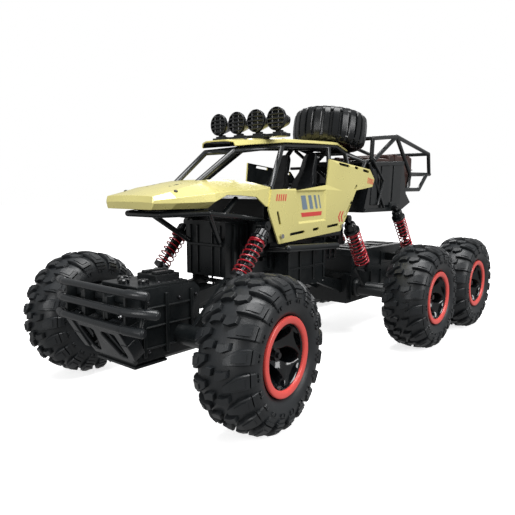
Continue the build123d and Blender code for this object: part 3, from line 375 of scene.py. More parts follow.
def block(shape, outline, height, angle, side):
    """A tread block of an outline in (y, arc) millimetres, with steep walls and a chamfered top."""
    cy = sum(p[0] for p in outline) / len(outline)
    ca = sum(p[1] for p in outline) / len(outline)
    rings = []
    for lift, grow in ((-1.2, 1.06), (0.3, 1.04), (height - 0.35, 0.97), (height, 0.91)):
        ring = []
        for y, a in outline:
            yy, aa = cy + (y - cy) * grow, ca + (a - ca) * grow
            ring.append(wheel_point(51.9 - 0.011 * yy * yy + lift, side * yy, angle + side * aa / TYRE_R))
        rings.append(ring)
    shape.loft(rings)


def lug(shape, line, stations, angle, side):
    """A shoulder lug along the carcass. A station is (share, half width, height, arc offset)."""
    rings = []
    for share, half, height, shift in stations:
        point, normal = on_carcass(line, share)
        ring = []
        for across, lift in ((-1.10, -1.2), (-1.02, height * 0.75), (-0.90, height),
                             (0.90, height), (1.02, height * 0.75), (1.10, -1.2)):
            at = point + normal * lift
            ring.append(wheel_point(at.x, side * at.y, angle + (shift + across * half) / TYRE_R * side))
        rings.append(ring)
    shape.loft(rings)


def tyre_shape():
    tyre = Shape()
    half = arc(CARCASS)
    outside = [(p.x, p.y) for p in half]
    inside = [(p.x - (4.0 if p.x > 45 else 2.6), p.y * 0.82) for p in half if p.x > 32]
    across = outside + [(27.6, 17.2), (28.5, 15.6)] + list(reversed(inside))
    tyre.turned(across + [(r, -y) for r, y in reversed(across)][1:-1], steps=100)
    step = 2 * math.pi / PITCHES
    for k in range(PITCHES):
        for side in (1, -1):
            angle = k * step + (0 if side > 0 else step / 2)
            lug(tyre, half, [
                (0.130, 1.9, 2.6, -4.6), (0.133, 2.1, 3.1, -4.5), (0.19, 3.1, 3.3, -3.2),
                (0.25, 4.3, 3.4, -1.6), (0.30, 5.1, 3.4, -0.6), (0.38, 5.5, 3.1, 0.4), (0.440, 5.5, 2.7, 0.8),
                (0.4435, 5.5, 1.5, 0.8),
            ], angle, side)
            # a raised pad on the lug's flat
            lug(tyre, half, [
                (0.235, 2.2, 3.5, -2.0), (0.24, 2.4, 4.0, -1.9), (0.32, 3.3, 4.0, -0.4),
                (0.385, 3.5, 3.6, 0.4), (0.39, 3.4, 3.0, 0.4),
            ], angle, side)
            lug(tyre, half, [
                (0.455, 5.4, 0.9, 0.8), (0.460, 5.5, 2.3, 0.8), (0.50, 5.3, 2.1, 0.8), (0.504, 5.2, 1.2, 0.8),
                (0.53, 5.1, 1.2, 0.8), (0.570, 4.8, 1.0, 0.8), (0.574, 4.7, 0.2, 0.8),
            ], angle, side)
            for a, b in ((-2.3, 0.9), (2.5, 1.5)):
                lug(tyre, half, [
                    (0.60, b, 0.2, a), (0.604, b, 1.1, a), (0.655, b * 0.9, 1.0, a), (0.659, b * 0.9, 0.1, a),
                ], angle, side)
            block(tyre, [(0.9, -5.6), (4.8, -6.0), (9.7, -3.4), (9.9, 1.4), (6.2, -0.4), (1.7, -0.6)],
                  3.1, angle + 6.6 / TYRE_R * side, side)
    return tyre


# ---------------------------------------------------------------- rims
def rim_shape():
    """A deep five-spoke rim, its spokes flared into the barrel like trumpets."""
    rim = Shape()
    rim.turned([(27.1, 18.7), (22.5, 18.7), (21.8, 17.8), (21.3, 8.0), (20.8, 0.0), (20.8, -20.0),
                (27.0, -20.0), (27.0, -18.6), (24.1, -18.2), (24.1, 17.6), (27.1, 17.7)], steps=90)
    rim.turned([(2.6, -3), (7.6, -3), (7.4, 2.0), (6.2, 5.6), (4.8, 7.4), (2.6, 7.6)], steps=40)
    rim.turned([(6.4, -7.5), (21.2, -7.5), (21.2, -6.2), (6.4, -6.2)], steps=60)
    # spokes: (radius, half width, face height)
    stations = [(3.5, 4.4, 5.6), (6.5, 4.1, 5.7), (9.5, 3.9, 6.6), (12.5, 4.0, 8.6), (15.2, 4.7, 11.2),
                (17.4, 6.2, 13.8), (19.2, 8.4, 16.0), (20.6, 10.8, 17.4), (21.7, 12.6, 18.0)]
    for k in range(5):
        turn = 2 * math.pi * (k + 0.25) / 5
        rings = []
        for r, half, face in stations:
            ring = []
            back = face - 9.5 - 0.25 * max(0.0, r - 10)
            for across, height in ((-1.0, back), (-1.0, face - 2.2), (-0.84, face - 0.7), (-0.4, face - 0.25),
                                   (0.4, face - 0.25), (0.84, face - 0.7), (1.0, face - 2.2), (1.0, back)):
                if r < 15:
                    ring.append(Vector((math.cos(turn) * r - math.sin(turn) * across * half, height,
                                        math.sin(turn) * r + math.cos(turn) * across * half)))
                else:
                    ring.append(wheel_point(r, height, turn + across * half / r))
            rings.append(ring)
        rim.loft(rings)
    return rim


def steered(side):
    """The matrix from wheel coordinates to the steered rest position of a front wheel."""
    pin = Vector((FRONT_X, side * KINGPIN_Y, 0))
    turn = Matrix.Rotation(math.radians(STEER_REST), 4, "Z")
    return Matrix.Translation(pin) @ turn @ Matrix.Translation(-pin) @ straight(FRONT_X, side)


def straight(x, side):
    flip = Matrix.Identity(4) if side > 0 else Matrix.Rotation(math.pi, 4, "Z")
    return Matrix.Translation((x, side * WHEEL_Y, AXLE_Z)) @ flip


WHEELS = [
    ("front_left", steered(1), "wheel_front_left", "tyre_front_left", "rim_front_left",
     "bead_ring_front_left"),
    ("front_right", steered(-1), "wheel_front_right", "tyre_front_right", "rim_front_right",
     "bead_ring_front_right"),
    ("middle_left", straight(MIDDLE_X, 1), "middle_wheels", "tyres_middle", "rims_middle",
     "bead_rings_middle"),
    ("middle_right", straight(MIDDLE_X, -1), "middle_wheels", "tyres_middle", "rims_middle",
     "bead_rings_middle"),
    ("rear_left", straight(REAR_X, 1), "rear_wheels", "tyres_rear", "rims_rear", "bead_rings_rear"),
    ("rear_right", straight(REAR_X, -1), "rear_wheels", "tyres_rear", "rims_rear", "bead_rings_rear"),
]
ROLLED = {"front_left": 4, "front_right": 9}
master_tyre = piece("master_tyre", tyre_shape(), None, RUBBER, sharp=30)
master_rim = piece("master_rim", rim_shape(), None, RIM_GLOSS, sharp=38)
ring_shape = Shape().turned([(27.7, 18.8), (27.7, 20.1), (27.2, 20.6), (26.4, 20.75), (23.6, 20.5),
                             (22.8, 20.1),
                             (22.4, 19.4), (22.3, 18.7), (23.0, 18.65), (27.3, 18.65)], steps=110)
master_ring = piece("master_ring", ring_shape, None, BEAD, sharp=50)
for name, matrix, body, tyre_node, rim_node, ring_node in WHEELS:
    spin = matrix @ Matrix.Rotation(math.radians(ROLLED.get(name, 6)), 4, "Y")
    twin(master_tyre, f"lugged_tyre_{name}", spin, body, [tyre_node], "tyre_rubber")
    twin(master_rim, f"spoked_rim_{name}", spin, body, [rim_node], "rim_black")
    twin(master_ring, f"bead_lock_{name}", spin, body, [ring_node], "bead_red")
for master in (master_tyre, master_rim, master_ring):
    bpy.data.objects.remove(master)

# ---------------------------------------------------------------- dampers and springs
DAMPER_Y = 48.0
DAMPERS = {"front": ((116.0, 136.0), (154.0, 92.0)), "middle": ((-16.0, 137.0), (-53.0, 82.0)),
           "rear": ((-124.0, 147.0), (-164.0, 93.0))}
SPRING_TURNS = {"front": 6.0, "middle": 9.0, "rear": 8.0}
SPRING_R = {"front": 6.8, "middle": 7.6, "rear": 6.8}
WIRE_R, SPRING_TOP, SPRING_FOOT = 0.66, 17.0, 9.0


def damper_frame(axle, side):
    """The upper eye, the direction down the damper, the way out from the car and the damper's length."""
    (ux, uz), (lx, lz) = DAMPERS[axle]
    top, foot = Vector((ux, side * DAMPER_Y, uz)), Vector((lx, side * DAMPER_Y, lz))
    return top, (foot - top).normalized(), Vector((0, side, 0)), (foot - top).length


for axle, turns in SPRING_TURNS.items():
    bodies = Shape()
    for side, place_name in ((1, "left"), (-1, "right")):
        top, down, out, length = damper_frame(axle, side)
        third = down.cross(out)
        start, end = SPRING_TOP, length - SPRING_FOOT
        steps = int(turns * 28) + 56
        path = []
        for i in range(steps + 1):
            wound = (turns + 2.0) * i / steps
            # the first and the last turn lie nearly closed
            rise = (0.03 * min(wound, 1) + 0.94 * min(max(wound - 1, 0), turns) / turns
                    + 0.03 * max(wound - turns - 1, 0))
            angle = 2 * math.pi * wound * side
            centre = top + down * (start + (end - start) * rise)
            path.append(centre + (out * math.cos(angle) + third * math.sin(angle)) * SPRING_R[axle])
        coil = piece(f"{axle}_spring_{place_name}", Shape().tube(path, WIRE_R, sides=8), None, SPRING)
        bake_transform(coil)
        place(coil, None, [f"{axle}_springs"], "spring_red")
        # a capped cylinder with gripping flutes, bored for its rod
        base = Matrix((third, out, down)).transposed().to_4x4()
        base.translation = top
        barrel = length * 0.64
        seat = SPRING_R[axle] + 0.9
        can = Shape().turned([(2.2, 7), (4.4, 5.2), (5.3, 6), (5.8, 12.2), (5.2, 12.8), (5.2, 13.6),
                              (seat, 14),
                              (seat, 16), (5.0, 16.4), (4.6, 18), (4.6, barrel - 1.6), (5.0, barrel - 1.4),
                              (5.0, barrel), (2.2, barrel)], steps=36, axis="z")
        for k in range(12):
            flute = 2 * math.pi * k / 12
            c, s = math.cos(flute), math.sin(flute)
            can.prism([(5.2 * c - 0.5 * s, 5.2 * s + 0.5 * c, 6.6),
                       (5.2 * c + 0.5 * s, 5.2 * s - 0.5 * c, 6.6),
                       (6.0 * c + 0.4 * s, 6.0 * s - 0.4 * c, 7.0),
                       (6.0 * c - 0.4 * s, 6.0 * s + 0.4 * c, 7.0)],
                      (0, 0, 5.0))
        can.turned([(1.7, -2.5), (3.9, -2.5), (3.9, 2.5), (1.7, 2.5)], steps=28)
        can.box((-2.2, 2.2), (-2.2, 2.2), (2.6, 6.8))
        bodies.join(can.moved(base))
    piece(f"{axle}_damper_cylinders", bodies, f"{axle}_dampers", GLOSS, [f"{axle}_damper_bodies"],
          "damper_black", sharp=35)

# ---------------------------------------------------------------- hood
# half sections from the ridge out to the lower edge of the side, as (y, z) at each x
HOOD = {
    217.2: [(0, 161.3), (14, 161.2), (27.5, 160.6), (29, 157.6), (29.2, 155.5)],
    202.0: [(0, 165.5), (14, 165.2), (29, 163.8), (36, 159.4), (36.2, 155.6)],
    188.0: [(0, 169), (14, 168.6), (29, 167.3), (42, 161.3), (42.2, 156)],
    174.0: [(0, 171.6), (15, 171.2), (27, 169.6), (47, 163), (47.3, 156.6)],
    163.0: [(0, 173.2), (16, 172.8), (25, 171.2), (48.6, 164.3), (48.8, 161.6)],
    148.0: [(0, 174.2), (18, 173.9), (24, 172.8), (49.6, 165), (49.8, 161.2)],
    131.0: [(0, 174.5), (20, 174.2), (24, 173.6), (50.3, 165.6), (50.6, 160)],
    119.0: [(0, 174.2), (22, 173.6), (27, 172.8), (50.6, 167), (50.9, 152)],
    113.5: [(0, 173.6), (24, 173), (32, 171.8), (50.7, 168), (50.9, 152)],
}
NOSE_MID = [(219, 0, 156.5), (218.9, 14, 156.5), (218, 28, 156)]
NOSE_LOW = [(217.8, 0, 151), (217.8, 14, 151), (217.8, 26.6, 151)]
LIP = [(217.8, 26.6, 151), (202, 29.5, 151.1), (188, 33, 151.2), (172, 36.4, 151.3)]
points, faces = [], []


def facet(*corners):
    """A face and its mirror image across the XZ plane."""
    for flip in (1, -1):
        faces.append(list(range(len(points), len(points) + len(corners))))
        points.extend((x, flip * y, z) for x, y, z in corners)


rows = [[(x, y, z) for y, z in section] for x, section in HOOD.items()]
for fore, aft in zip(rows, rows[1:]):
    for i in range(4):
        facet(fore[i], fore[i + 1], aft[i + 1], aft[i])
tip = rows[0]
facet(tip[0], tip[1], NOSE_MID[1], NOSE_MID[0])
facet(tip[1], tip[2], NOSE_MID[2], NOSE_MID[1])
facet(tip[2], tip[3], NOSE_MID[2])
facet(tip[3], tip[4], NOSE_MID[2])
facet(NOSE_MID[0], NOSE_MID[1], NOSE_LOW[1], NOSE_LOW[0])
facet(NOSE_MID[1], NOSE_MID[2], NOSE_LOW[2], NOSE_LOW[1])
facet(NOSE_MID[2], tip[4], NOSE_LOW[2])
for i in range(3):
    facet(rows[i][4], rows[i + 1][4], LIP[i + 1], LIP[i])
hood = panel("faceted_hood", points, faces, (165, 0, 140), None, ["hood"])

# ---------------------------------------------------------------- doors
# the sheet's outline, the pressed field's outer and inner edges, and the points where facets meet
EDGE = [(113, 51.8, 166), (80, 51.8, 167), (76, 51.8, 164), (30, 51.8, 171), (27, 52.4, 195), (-50, 53.2, 188),
        (-61, 53, 178), (-57, 53, 170), (-23, 53, 166), (-5, 51.8, 137), (4, 51.8, 126), (103, 51.8, 120),
        (117, 51.8, 149)]
OUTER = [(80, 52.6, 165.4), (32.5, 52.6, 166.5), (32, 52.6, 137.2), (76, 52.6, 136)]
INNER = [(78.2, 51.4, 163.6), (34.4, 51.4, 164.4), (33.8, 51.4, 139), (75, 51.4, 138)]
PEAK, HIGH, FOLD = (6, 54.2, 165.5), (12, 54, 190.5), (14, 53.6, 151)
DOOR = [[EDGE[0], EDGE[1], OUTER[0]], [EDGE[0], OUTER[0], OUTER[3], EDGE[12]],
        [EDGE[12], OUTER[3], EDGE[11]], [EDGE[1], EDGE[2], OUTER[0]],
        [EDGE[2], EDGE[3], OUTER[1], OUTER[0]], [OUTER[0], OUTER[1], INNER[1], INNER[0]],
        [OUTER[1], OUTER[2], INNER[2], INNER[1]],
        [OUTER[2], OUTER[3], INNER[3], INNER[2]],
        [OUTER[3], OUTER[0], INNER[0], INNER[3]], [INNER[0], INNER[1], INNER[2], INNER[3]],
        [EDGE[11], OUTER[3], OUTER[2], EDGE[10]], [OUTER[1], EDGE[3], PEAK],
        [EDGE[3], EDGE[4], HIGH, PEAK], [HIGH, EDGE[4], EDGE[5]],
        [PEAK, HIGH, EDGE[5], EDGE[6], EDGE[7], EDGE[8]], [OUTER[1], PEAK, FOLD], [OUTER[1], FOLD, OUTER[2]],
        [OUTER[2], FOLD, EDGE[10]], [FOLD, PEAK, EDGE[8], EDGE[9]], [FOLD, EDGE[9], EDGE[10]]]
DOOR_SLOTS = [
    ((103.5, 142), 12.6, 71), ((77, 128), 22, -4), ((48, 130), 10, -4), ((19, 132), 20, -4),
    ((-9, 147), 21, -54), ((-22, 169), 7, -46), ((2, 190.5), 20, 5), ((-22, 188.5), 8, 6),
    ((-42, 186), 14, 7),
]
RED_MARKS = []
for k in range(5):
    x = 106.5 - 2.9 * k
    RED_MARKS.append([(x, 162.2), (x - 1.5, 162.2), (x - 0.4, 156.6), (x + 1.1, 156.6)])
    x = -46.4 - 2.7 * k
    RED_MARKS.append([(x, 179.6 - 0.4 * k), (x - 1.4, 179.4 - 0.4 * k), (x - 0.8, 173.4 - 0.3 * k),
                      (x + 0.6, 173.6 - 0.3 * k)])
for x in (10.6, 5.4):
    RED_MARKS.append([(x - 3.4, 145.4), (x - 5.6, 145.4), (x - 2.3, 140.2), (x, 140.2)])
    RED_MARKS.append([(x, 140.2), (x - 2.3, 140.2), (x - 4.9, 135.0), (x - 2.7, 135.0)])
RED_MARKS.append([(71.0, 145.6), (37.5, 146.4), (38.4, 142.6), (69.6, 141.8)])
GREY_MARKS = [[(71.5, 161.0), (64.5, 161.1), (60.5, 148.6), (68.4, 148.4)],
              [(60.5, 161.2), (55.6, 161.3), (51.4, 148.9), (56.6, 148.8)],
              [(51.6, 161.4), (48.4, 161.5), (44.2, 149.1), (47.6, 149.0)],
              [(44.4, 161.6), (42.6, 161.6), (38.6, 149.2), (40.6, 149.2)]]


def laid_on(skin, outlines, out, proud=0.12):
    """Thin flat marks on a sheet's face, laid along an axis. An outline is in the other two axes."""
    tree = BVHTree.FromObject(skin, bpy.context.evaluated_depsgraph_get())
    ink, out = Shape(), Vector(out)
    for outline in outlines:
        face = []
        for u, v in outline:
            start = Vector((u, v, 260)) if out.z else Vector((u, out.y * 90, v))
            face.append(tree.ray_cast(start * MM, -out)[0] / MM - out * 0.4)
        ink.prism(face, out * (0.4 + proud))
    return ink


# painted shade: thin dark satin strips laid just proud of the hood stand in for the shade inside the recessed
# vent slits
vent_shade_outlines = [stadium((x, y), length, 2.2, -4 if y > 0 else 4)
         for x, length in ((186, 9), (165, 27)) for y in (14, -14)]
piece("hood_vent_painted_shade", laid_on(hood, vent_shade_outlines, (0, 0, 1), 0.06), "chassis", SATIN)

for side, name in ((1, "left"), (-1, "right")):
    points = [(x, side * y, z) for corners in DOOR for x, y, z in corners]
    faces, start = [], 0
    for corners in DOOR:
        faces.append(list(range(start, start + len(corners))))
        start += len(corners)
    slots = Shape()
    for centre, length, angle in DOOR_SLOTS:
        slots.prism([(u, side * 44, v) for u, v in stadium(centre, length, 2.6, angle)], (0, side * 16, 0))
    skin = panel(f"faceted_door_{name}", points, faces, (40, 0, 150), slots, [f"side_panel_{name}"])
    piece(f"door_marks_{name}", laid_on(skin, RED_MARKS, (0, side, 0)), "chassis", PRINT)
    piece(f"door_stripes_{name}", laid_on(skin, GREY_MARKS, (0, side, 0)), "chassis", PRINT_GREY)

# ---------------------------------------------------------------- roof
ROOF = [
    [(127, 0, 208.0), (126.6, 12, 207.9), (124, 19, 206.8), (123, 20.6, 202.6)],
    [(100, 0, 210.8), (104, 14, 210.4), (100, 22.5, 208.9), (99, 24, 205.4)],
    [(63, 0, 213.3), (66, 19, 213.2), (63, 26, 212.6), (62, 27, 209.4)],
    [(18, 0, 215.3), (18, 20, 215.2), (18, 26.6, 214.2), (18, 27.4, 211.6)],
    [(-28, 0, 217.2), (-28, 20, 217.1), (-28, 26.4, 215.6), (-28, 27.2, 213.2)],
    [(-52, 0, 211.6), (-52, 18, 211.4), (-52, 23.6, 210.2), (-52, 24.2, 208.2)],
]
points, faces = [], []
for fore, aft in zip(ROOF, ROOF[1:]):
    for i in range(3):
        facet(fore[i], fore[i + 1], aft[i + 1], aft[i])
panel("faceted_roof", points, faces, (40, 0, 190), None, ["roof_panel"], bevel=0.5)

# panel screws, each a domed head
heads = Shape()


def screw(at, out, radius=2.0, height=1.2):
    """A domed screw head standing on a face."""
    turn = Vector((0, 0, 1)).rotation_difference(Vector(out)).to_matrix().to_4x4()
    turn.translation = Vector(at)
    dome = Shape().turned([(0.25, -1.5), (radius * 0.6, -1.5), (radius, -0.2), (radius, height * 0.45),
                           (radius * 0.8, height * 0.85), (radius * 0.4, height), (0.25, height * 0.55)],
                          steps=20, axis="z")
    heads.join(dome.moved(turn))


for side in (1, -1):
    screw((198, side * 30.5, 164.2), (0, side * 0.4, 0.92), 1.5, 0.9)
    for x, z in ((52, 213.6), (-18, 216.6), (106, 209.8)):
        screw((x, side * 16, z), (0, 0, 1), 1.5, 0.9)
piece("panel_screws", heads, "chassis", DARK_STEEL, sharp=40)

# ---------------------------------------------------------------- lamps
LAMP_X, LAMP_Z, LAMP_R = 82.0, 227.4, 10.2
lamps, grilles, lenses = Shape(), Shape(), Shape()
for index in range(4):
    y = 23.4 * (index - 1.5)
    lamps.turned([(0.4, -10.6), (3.4, -10.6), (5.0, -9.4), (6.6, -5.5), (8.2, -1.5), (9.1, 1.4), (9.9, 2.4),
                  (10.2, 3.2), (10.2, 5.2), (9.9, 6.0), (9.2, 6.0), (8.9, 2.8), (0.4, 2.2)], steps=40,
                 centre=(LAMP_X, y, LAMP_Z), axis="x")
    lenses.turned([(0.3, 3.4), (5.0, 3.3), (9.0, 2.9), (9.0, 2.3), (0.3, 2.3)], steps=40,
                  centre=(LAMP_X, y, LAMP_Z), axis="x")
    for z in (-7.2, -3.6, 0.0, 3.6, 7.2):
        reach = math.sqrt((LAMP_R - 0.9) ** 2 - z * z)
        bow = [(LAMP_X + 5.3 + 1.5 * math.cos(t * math.pi / 2), y + t * reach, LAMP_Z + z)
               for t in (-1, -0.66, -0.33, 0, 0.33, 0.66, 1)]
        grilles.tube(bow, 0.8, sides=8)
    for across in (-3.4, 3.4):
        grilles.tube([(LAMP_X + 5.9, y + across, LAMP_Z - 8.6), (LAMP_X + 5.9, y + across, LAMP_Z + 8.6)],
                     0.45, sides=8)
    lamps.box((LAMP_X - 2.6, LAMP_X + 2.6), (y - 2.6, y + 2.6), (214.5, LAMP_Z - LAMP_R + 1.0))
    lamps.box((LAMP_X - 4.2, LAMP_X + 4.2), (y - 4.6, y + 4.6), (214.5, 216.6))
lamps.prism([(76, -42, 212.4), (79, -45, 212.4), (85, -45, 212.4), (88, -42, 212.4), (88, 42, 212.4),
             (85, 45, 212.4), (79, 45, 212.4), (76, 42, 212.4)], (0, 0, 2.6))
for y in (-16, 16):
    lamps.box((LAMP_X - 5, LAMP_X + 5), (y - 4, y + 4), (207, 213))
piece("lamp_housings", lamps, "chassis", GLOSS, ["light_bar"], "gloss_black", bevel=0.4, sharp=40)
piece("lamp_grilles", grilles, "chassis", GLOSS)
piece("lamp_glasses", lenses, "chassis", LENS, ["lamp_lenses"], "lens_clear")

# ---------------------------------------------------------------- spare wheel
laid = (Matrix.Translation((-53, 0, 232)) @ Matrix.Rotation(math.radians(-9), 4, "Y")
        @ Matrix.Rotation(math.pi / 2, 4, "X"))
half = [(38.2, 0), (38.2, 6), (38.0, 11), (37.0, 15), (34.5, 17.6), (31.0, 18.3), (27.0, 17.6), (23.5, 15.5),
        (20.5, 13.5)]
inner = [(19.6, 10.5), (22.5, 12.4), (26.5, 14.6), (31.0, 15.0), (34.4, 12.0), (35.0, 6), (35.0, 0)]
spare = Shape().turned([(r, -y) for r, y in reversed(half)] + half[1:] + inner + [(r, -y) for r,
                                                                                  y in reversed(inner[:-1])],
                       steps=96)
RIBS = 26
for k in range(RIBS):
    middle = 2 * math.pi * k / RIBS
    wide = 3.9 if k % 2 else 3.3
    rings = []
    for r, y, share in ((33.4, -18.2, 0.7), (37.0, -16.4, 0.85), (39.4, -13.6, 1.0), (40.4, -8.0, 1.0),
                        (40.7, 0, 1.0),
                        (40.4, 8.0, 1.0), (39.4, 13.6, 1.0), (37.0, 16.4, 0.85), (33.4, 18.2, 0.7)):
        turn = [(-1.0, -2.6), (-1.0, -0.9), (-0.8, 0.0), (0.8, 0.0), (1.0, -0.9), (1.0, -2.6)]
        rings.append([wheel_point(r + lift, y, middle + wide * share * a / 40.0) for a, lift in turn])
    spare.loft(rings)
for y in (-13.0, 13.0):
    spare.turned([(37.0, y - 0.9), (38.9, y - 0.7), (38.9, y + 0.7), (37.0, y + 0.9)], steps=96)
piece("ribbed_spare_tyre", spare.moved(laid), "chassis", SPARE_RUBBER, ["spare_tyre"], "tyre_rubber",
      sharp=32)
small = Matrix.Diagonal((0.775, 0.70, 0.775, 1.0))
piece("spoked_spare_rim", rim_shape().moved(laid @ small), "chassis", SPARE_BROWN, ["spare_rim"],
      "spare_rim_brown", sharp=38)

# ---------------------------------------------------------------- front bumper
BARS = [([(244.4, 55, 96.0), (251.2, 38, 97.2)], 2.6), ([(241.4, 61.5, 84.0), (252.2, 38, 84.8)], 2.8),
        ([(246.6, 53, 71.2), (252.8, 36, 72.6)], 2.9)]
bars = Shape()
for (tip, knee), r in BARS:
    path = [tip, knee, (knee[0], -knee[1], knee[2]), (tip[0], -tip[1], tip[2])]
    bars.tube(path, r, sides=16, bend=3.0)
    # the swept ends wear longer sleeves
    a, b = Vector(tip), Vector(knee)
    for flip in (1, -1):
        ends = [Vector((p.x, flip * p.y, p.z)) for p in (a.lerp(b, -0.02), a.lerp(b, 0.06), a.lerp(b, 0.86),
                                                         a.lerp(b, 0.97))]
        bars.tube(ends, [r * 0.8, r + 0.7, r + 0.6, r * 0.9], sides=16)
piece("bumper_bars", bars, "front_axle", BUMPER, ["front_bumper"], "frame_black", sharp=40)
cells = Shape()
for y in (-36.5, -12.3, 12.3, 36.5):
    cells.slab([(250.6, 73), (250.0, 97), (239, 94), (238, 76)], y - 1.1, 2.2)
for y in (-24.4, 0, 24.4):
    for z in (78.6, 90.4):
        cells.box((239, 242.4), (y - 10.6, y + 10.6), (z - 4.2, z + 4.2))
        cells.box((241, 244.6), (y - 6.4, y + 6.4), (z - 2.4, z + 2.2))
for side in (1, -1):
    cells.slab([(229, 74), (229, 92), (250, 92), (250, 76)], side * 13, side * 3.4)
    cells.tube([(243, side * 50, 96), (240, side * 45, 84), (245, side * 47, 72)], 2.1, sides=10)
    cells.tube([(240, side * 45, 84), (231, side * 24, 80)], 2.6, sides=10)
piece("bumper_cells", cells, "front_axle", SATIN, bevel=0.5, sharp=40)

# the fascia below: a sloping plate pierced by two rounded windows, in a frame of (across, down) millimetres
slope = Vector((-18.6, 0, -31)).normalized()
facing = Vector((31, 0, -18.6)).normalized()
front_edge = Vector((251.6, 0, 69.5))


def fascia(outline, sunk, thick):
    return ([front_edge + Vector((0, u, 0)) + slope * v - facing * sunk for u, v in outline], -facing * thick)


plate = Shape().prism(*fascia([(-31, 0), (31, 0), (30, 14), (25, 33), (-25, 33), (-30, 14)], 0, 2.6))
windows = Shape()
for side in (1, -1):
    windows.prism(*fascia([(side * u, v) for u, v in ((3.6, 8.4), (4.6, 6.2), (7.0, 5.0), (20.6, 5.0),
                                                      (23.2, 6.4),
                                                      (24.0, 9.2), (21.4, 26.6), (19.6, 28.4), (14.6, 28.4),
                                                      (12.4, 27.2))], -3, 9))
guard = piece("bumper_fascia", plate, "front_axle", BUMPER)
tool = piece("window_tool", windows, None, BUMPER)
cut = guard.modifiers.new("cut", "BOOLEAN")
cut.operation, cut.object, cut.solver = "DIFFERENCE", tool, "EXACT"
settle(guard)
bpy.data.objects.remove(tool)
guard.data.shade_smooth()
rounded = guard.modifiers.new("bevel", "BEVEL")
rounded.width = 0.9 * MM
rounded.segments = 3
rounded.angle_limit = math.radians(35)
rounded.harden_normals = True
inner = Shape()
for side in (1, -1):
    inner.prism(*fascia([(side * u, v) for u, v in ((5, 6), (9.5, 6), (15.5, 27), (12.5, 27))], 2.2, 5))
    inner.prism(*fascia([(side * u, v) for u, v in ((22.5, 6), (17.0, 6), (15.5, 14), (20.5, 20))], 2.6, 5))
    inner.prism(*fascia([(side * u, v) for u, v in ((25.4, -1.0), (33.4, -1.0), (33.4, 20), (31.6, 27),
                                                    (25.4, 27))], -1.4, 10))
    inner.prism(*fascia([(side * u, v) for u, v in ((26.0, 11.4), (33.9, 11.4), (33.9, 12.6), (26.0, 12.6))],
                        -1.9, 8))
inner.box((204, 234), (-24, 24), (36.6, 38.6))
inner.box((230, 250), (-30, 30), (67, 70))
piece("bumper_fascia_ribs", inner, "front_axle", BUMPER, bevel=0.8, segments=3, sharp=38)

# ---------------------------------------------------------------- front axle box
trim = Shape()
trim.prism([(180, -22, 93), (180, 22, 93), (229, 22, 93), (229, -22, 93)], (0, 0, 3.2))
trim.prism([(178, -14, 95), (178, 10, 95), (202, 10, 95), (202, -14, 95)], (0, 0, 5.4))
for y in (-9.5, 3.0):
    trim.box((181, 200), (y - 1.6, y + 4.2), (100, 102.4))
for z in (50, 66, 80):
    trim.box((176, 226), (24.4, 26.2), (z - 0.8, z + 0.8))
for x in (180, 205, 226):
    trim.box((x - 1.6, x + 1.6), (24.4, 27.0), (44, 90))
for x in (180, 226):
    trim.box((x - 1.6, x + 1.6), (-27.0, -24.4), (44, 90))
for y in (-18, -6, 6, 18):
    trim.box((231.4, 233.6), (y - 1, y + 1), (74, 88))
piece("axle_box_ribs", trim, "front_axle", SATIN, bevel=0.9, segments=2, sharp=38)
boss = Shape()
for x, y in ((216, 13), (216, -13), (224, 0)):
    boss.turned([(0.4, 95.6), (4.2, 95.6), (4.2, 98.6), (3.4, 99.4), (2.2, 99.4), (2.0, 98.2), (0.4, 98.2)],
                steps=24, centre=(x, y, 0), axis="z")
piece("axle_box_bosses", boss, "front_axle", GLOSS, sharp=38)
heads = Shape()
for x, z in ((175, 84), (192, 84), (222, 84), (222, 48), (178, 48)):
    screw((x, 25.4, z), (0, 1, 0), 1.5, 1.0)
for x, y in ((184, 18), (184, -18), (206, 18), (206, -18)):
    screw((x, y, 96.2), (0, 0, 1), 1.5, 1.0)
piece("axle_box_screws", heads, "front_axle", DARK_STEEL, sharp=40)
heads = Shape()
screw((244.7, 24.4, 78.4), (1, 0, 0), 2.4, 1.4)
piece("bumper_screw", heads, "front_axle", STEEL, sharp=40)

# ---------------------------------------------------------------- chassis
trim = Shape()
for side in (1, -1):
    for x in (16, 34, 56, 74):
        trim.box((x - 1.4, x + 1.4), sorted((side * 39.4, side * 41.6)), (80, 109))
    trim.box((15, 75), sorted((side * 39.4, side * 41.2)), (92, 94.4))
    trim.prism([(20, side * 42, 112.4), (24, side * 60, 112.0), (101, side * 60, 114.6),
                (105, side * 42, 115.4)], (0, 0, 2.0))
    for x in (34, 50, 66, 82):
        trim.box((x - 1.2, x + 1.2), sorted((side * 43, side * 58)), (114.4, 116.0))
    trim.box((-30, 12), sorted((side * 23.6, side * 25.4)), (96, 98.6))
    trim.box((-30, 12), sorted((side * 23.6, side * 25.4)), (112, 114.6))
    for x in (-28, -18, -8):
        trim.box((x - 1.2, x + 1.2), sorted((side * 23.6, side * 26.2)), (94, 118))
for y in (-18, -9, 9, 18):
    trim.box((139.4, 141.8), (y - 1, y + 1), (94, 136))
trim.box((139.4, 142.4), (-21, 21), (118, 120.4))
trim.box((78, 112), (-20, 20), (119.5, 121))
piece("chassis_ribs", trim, "chassis", SATIN, bevel=0.6, sharp=38)

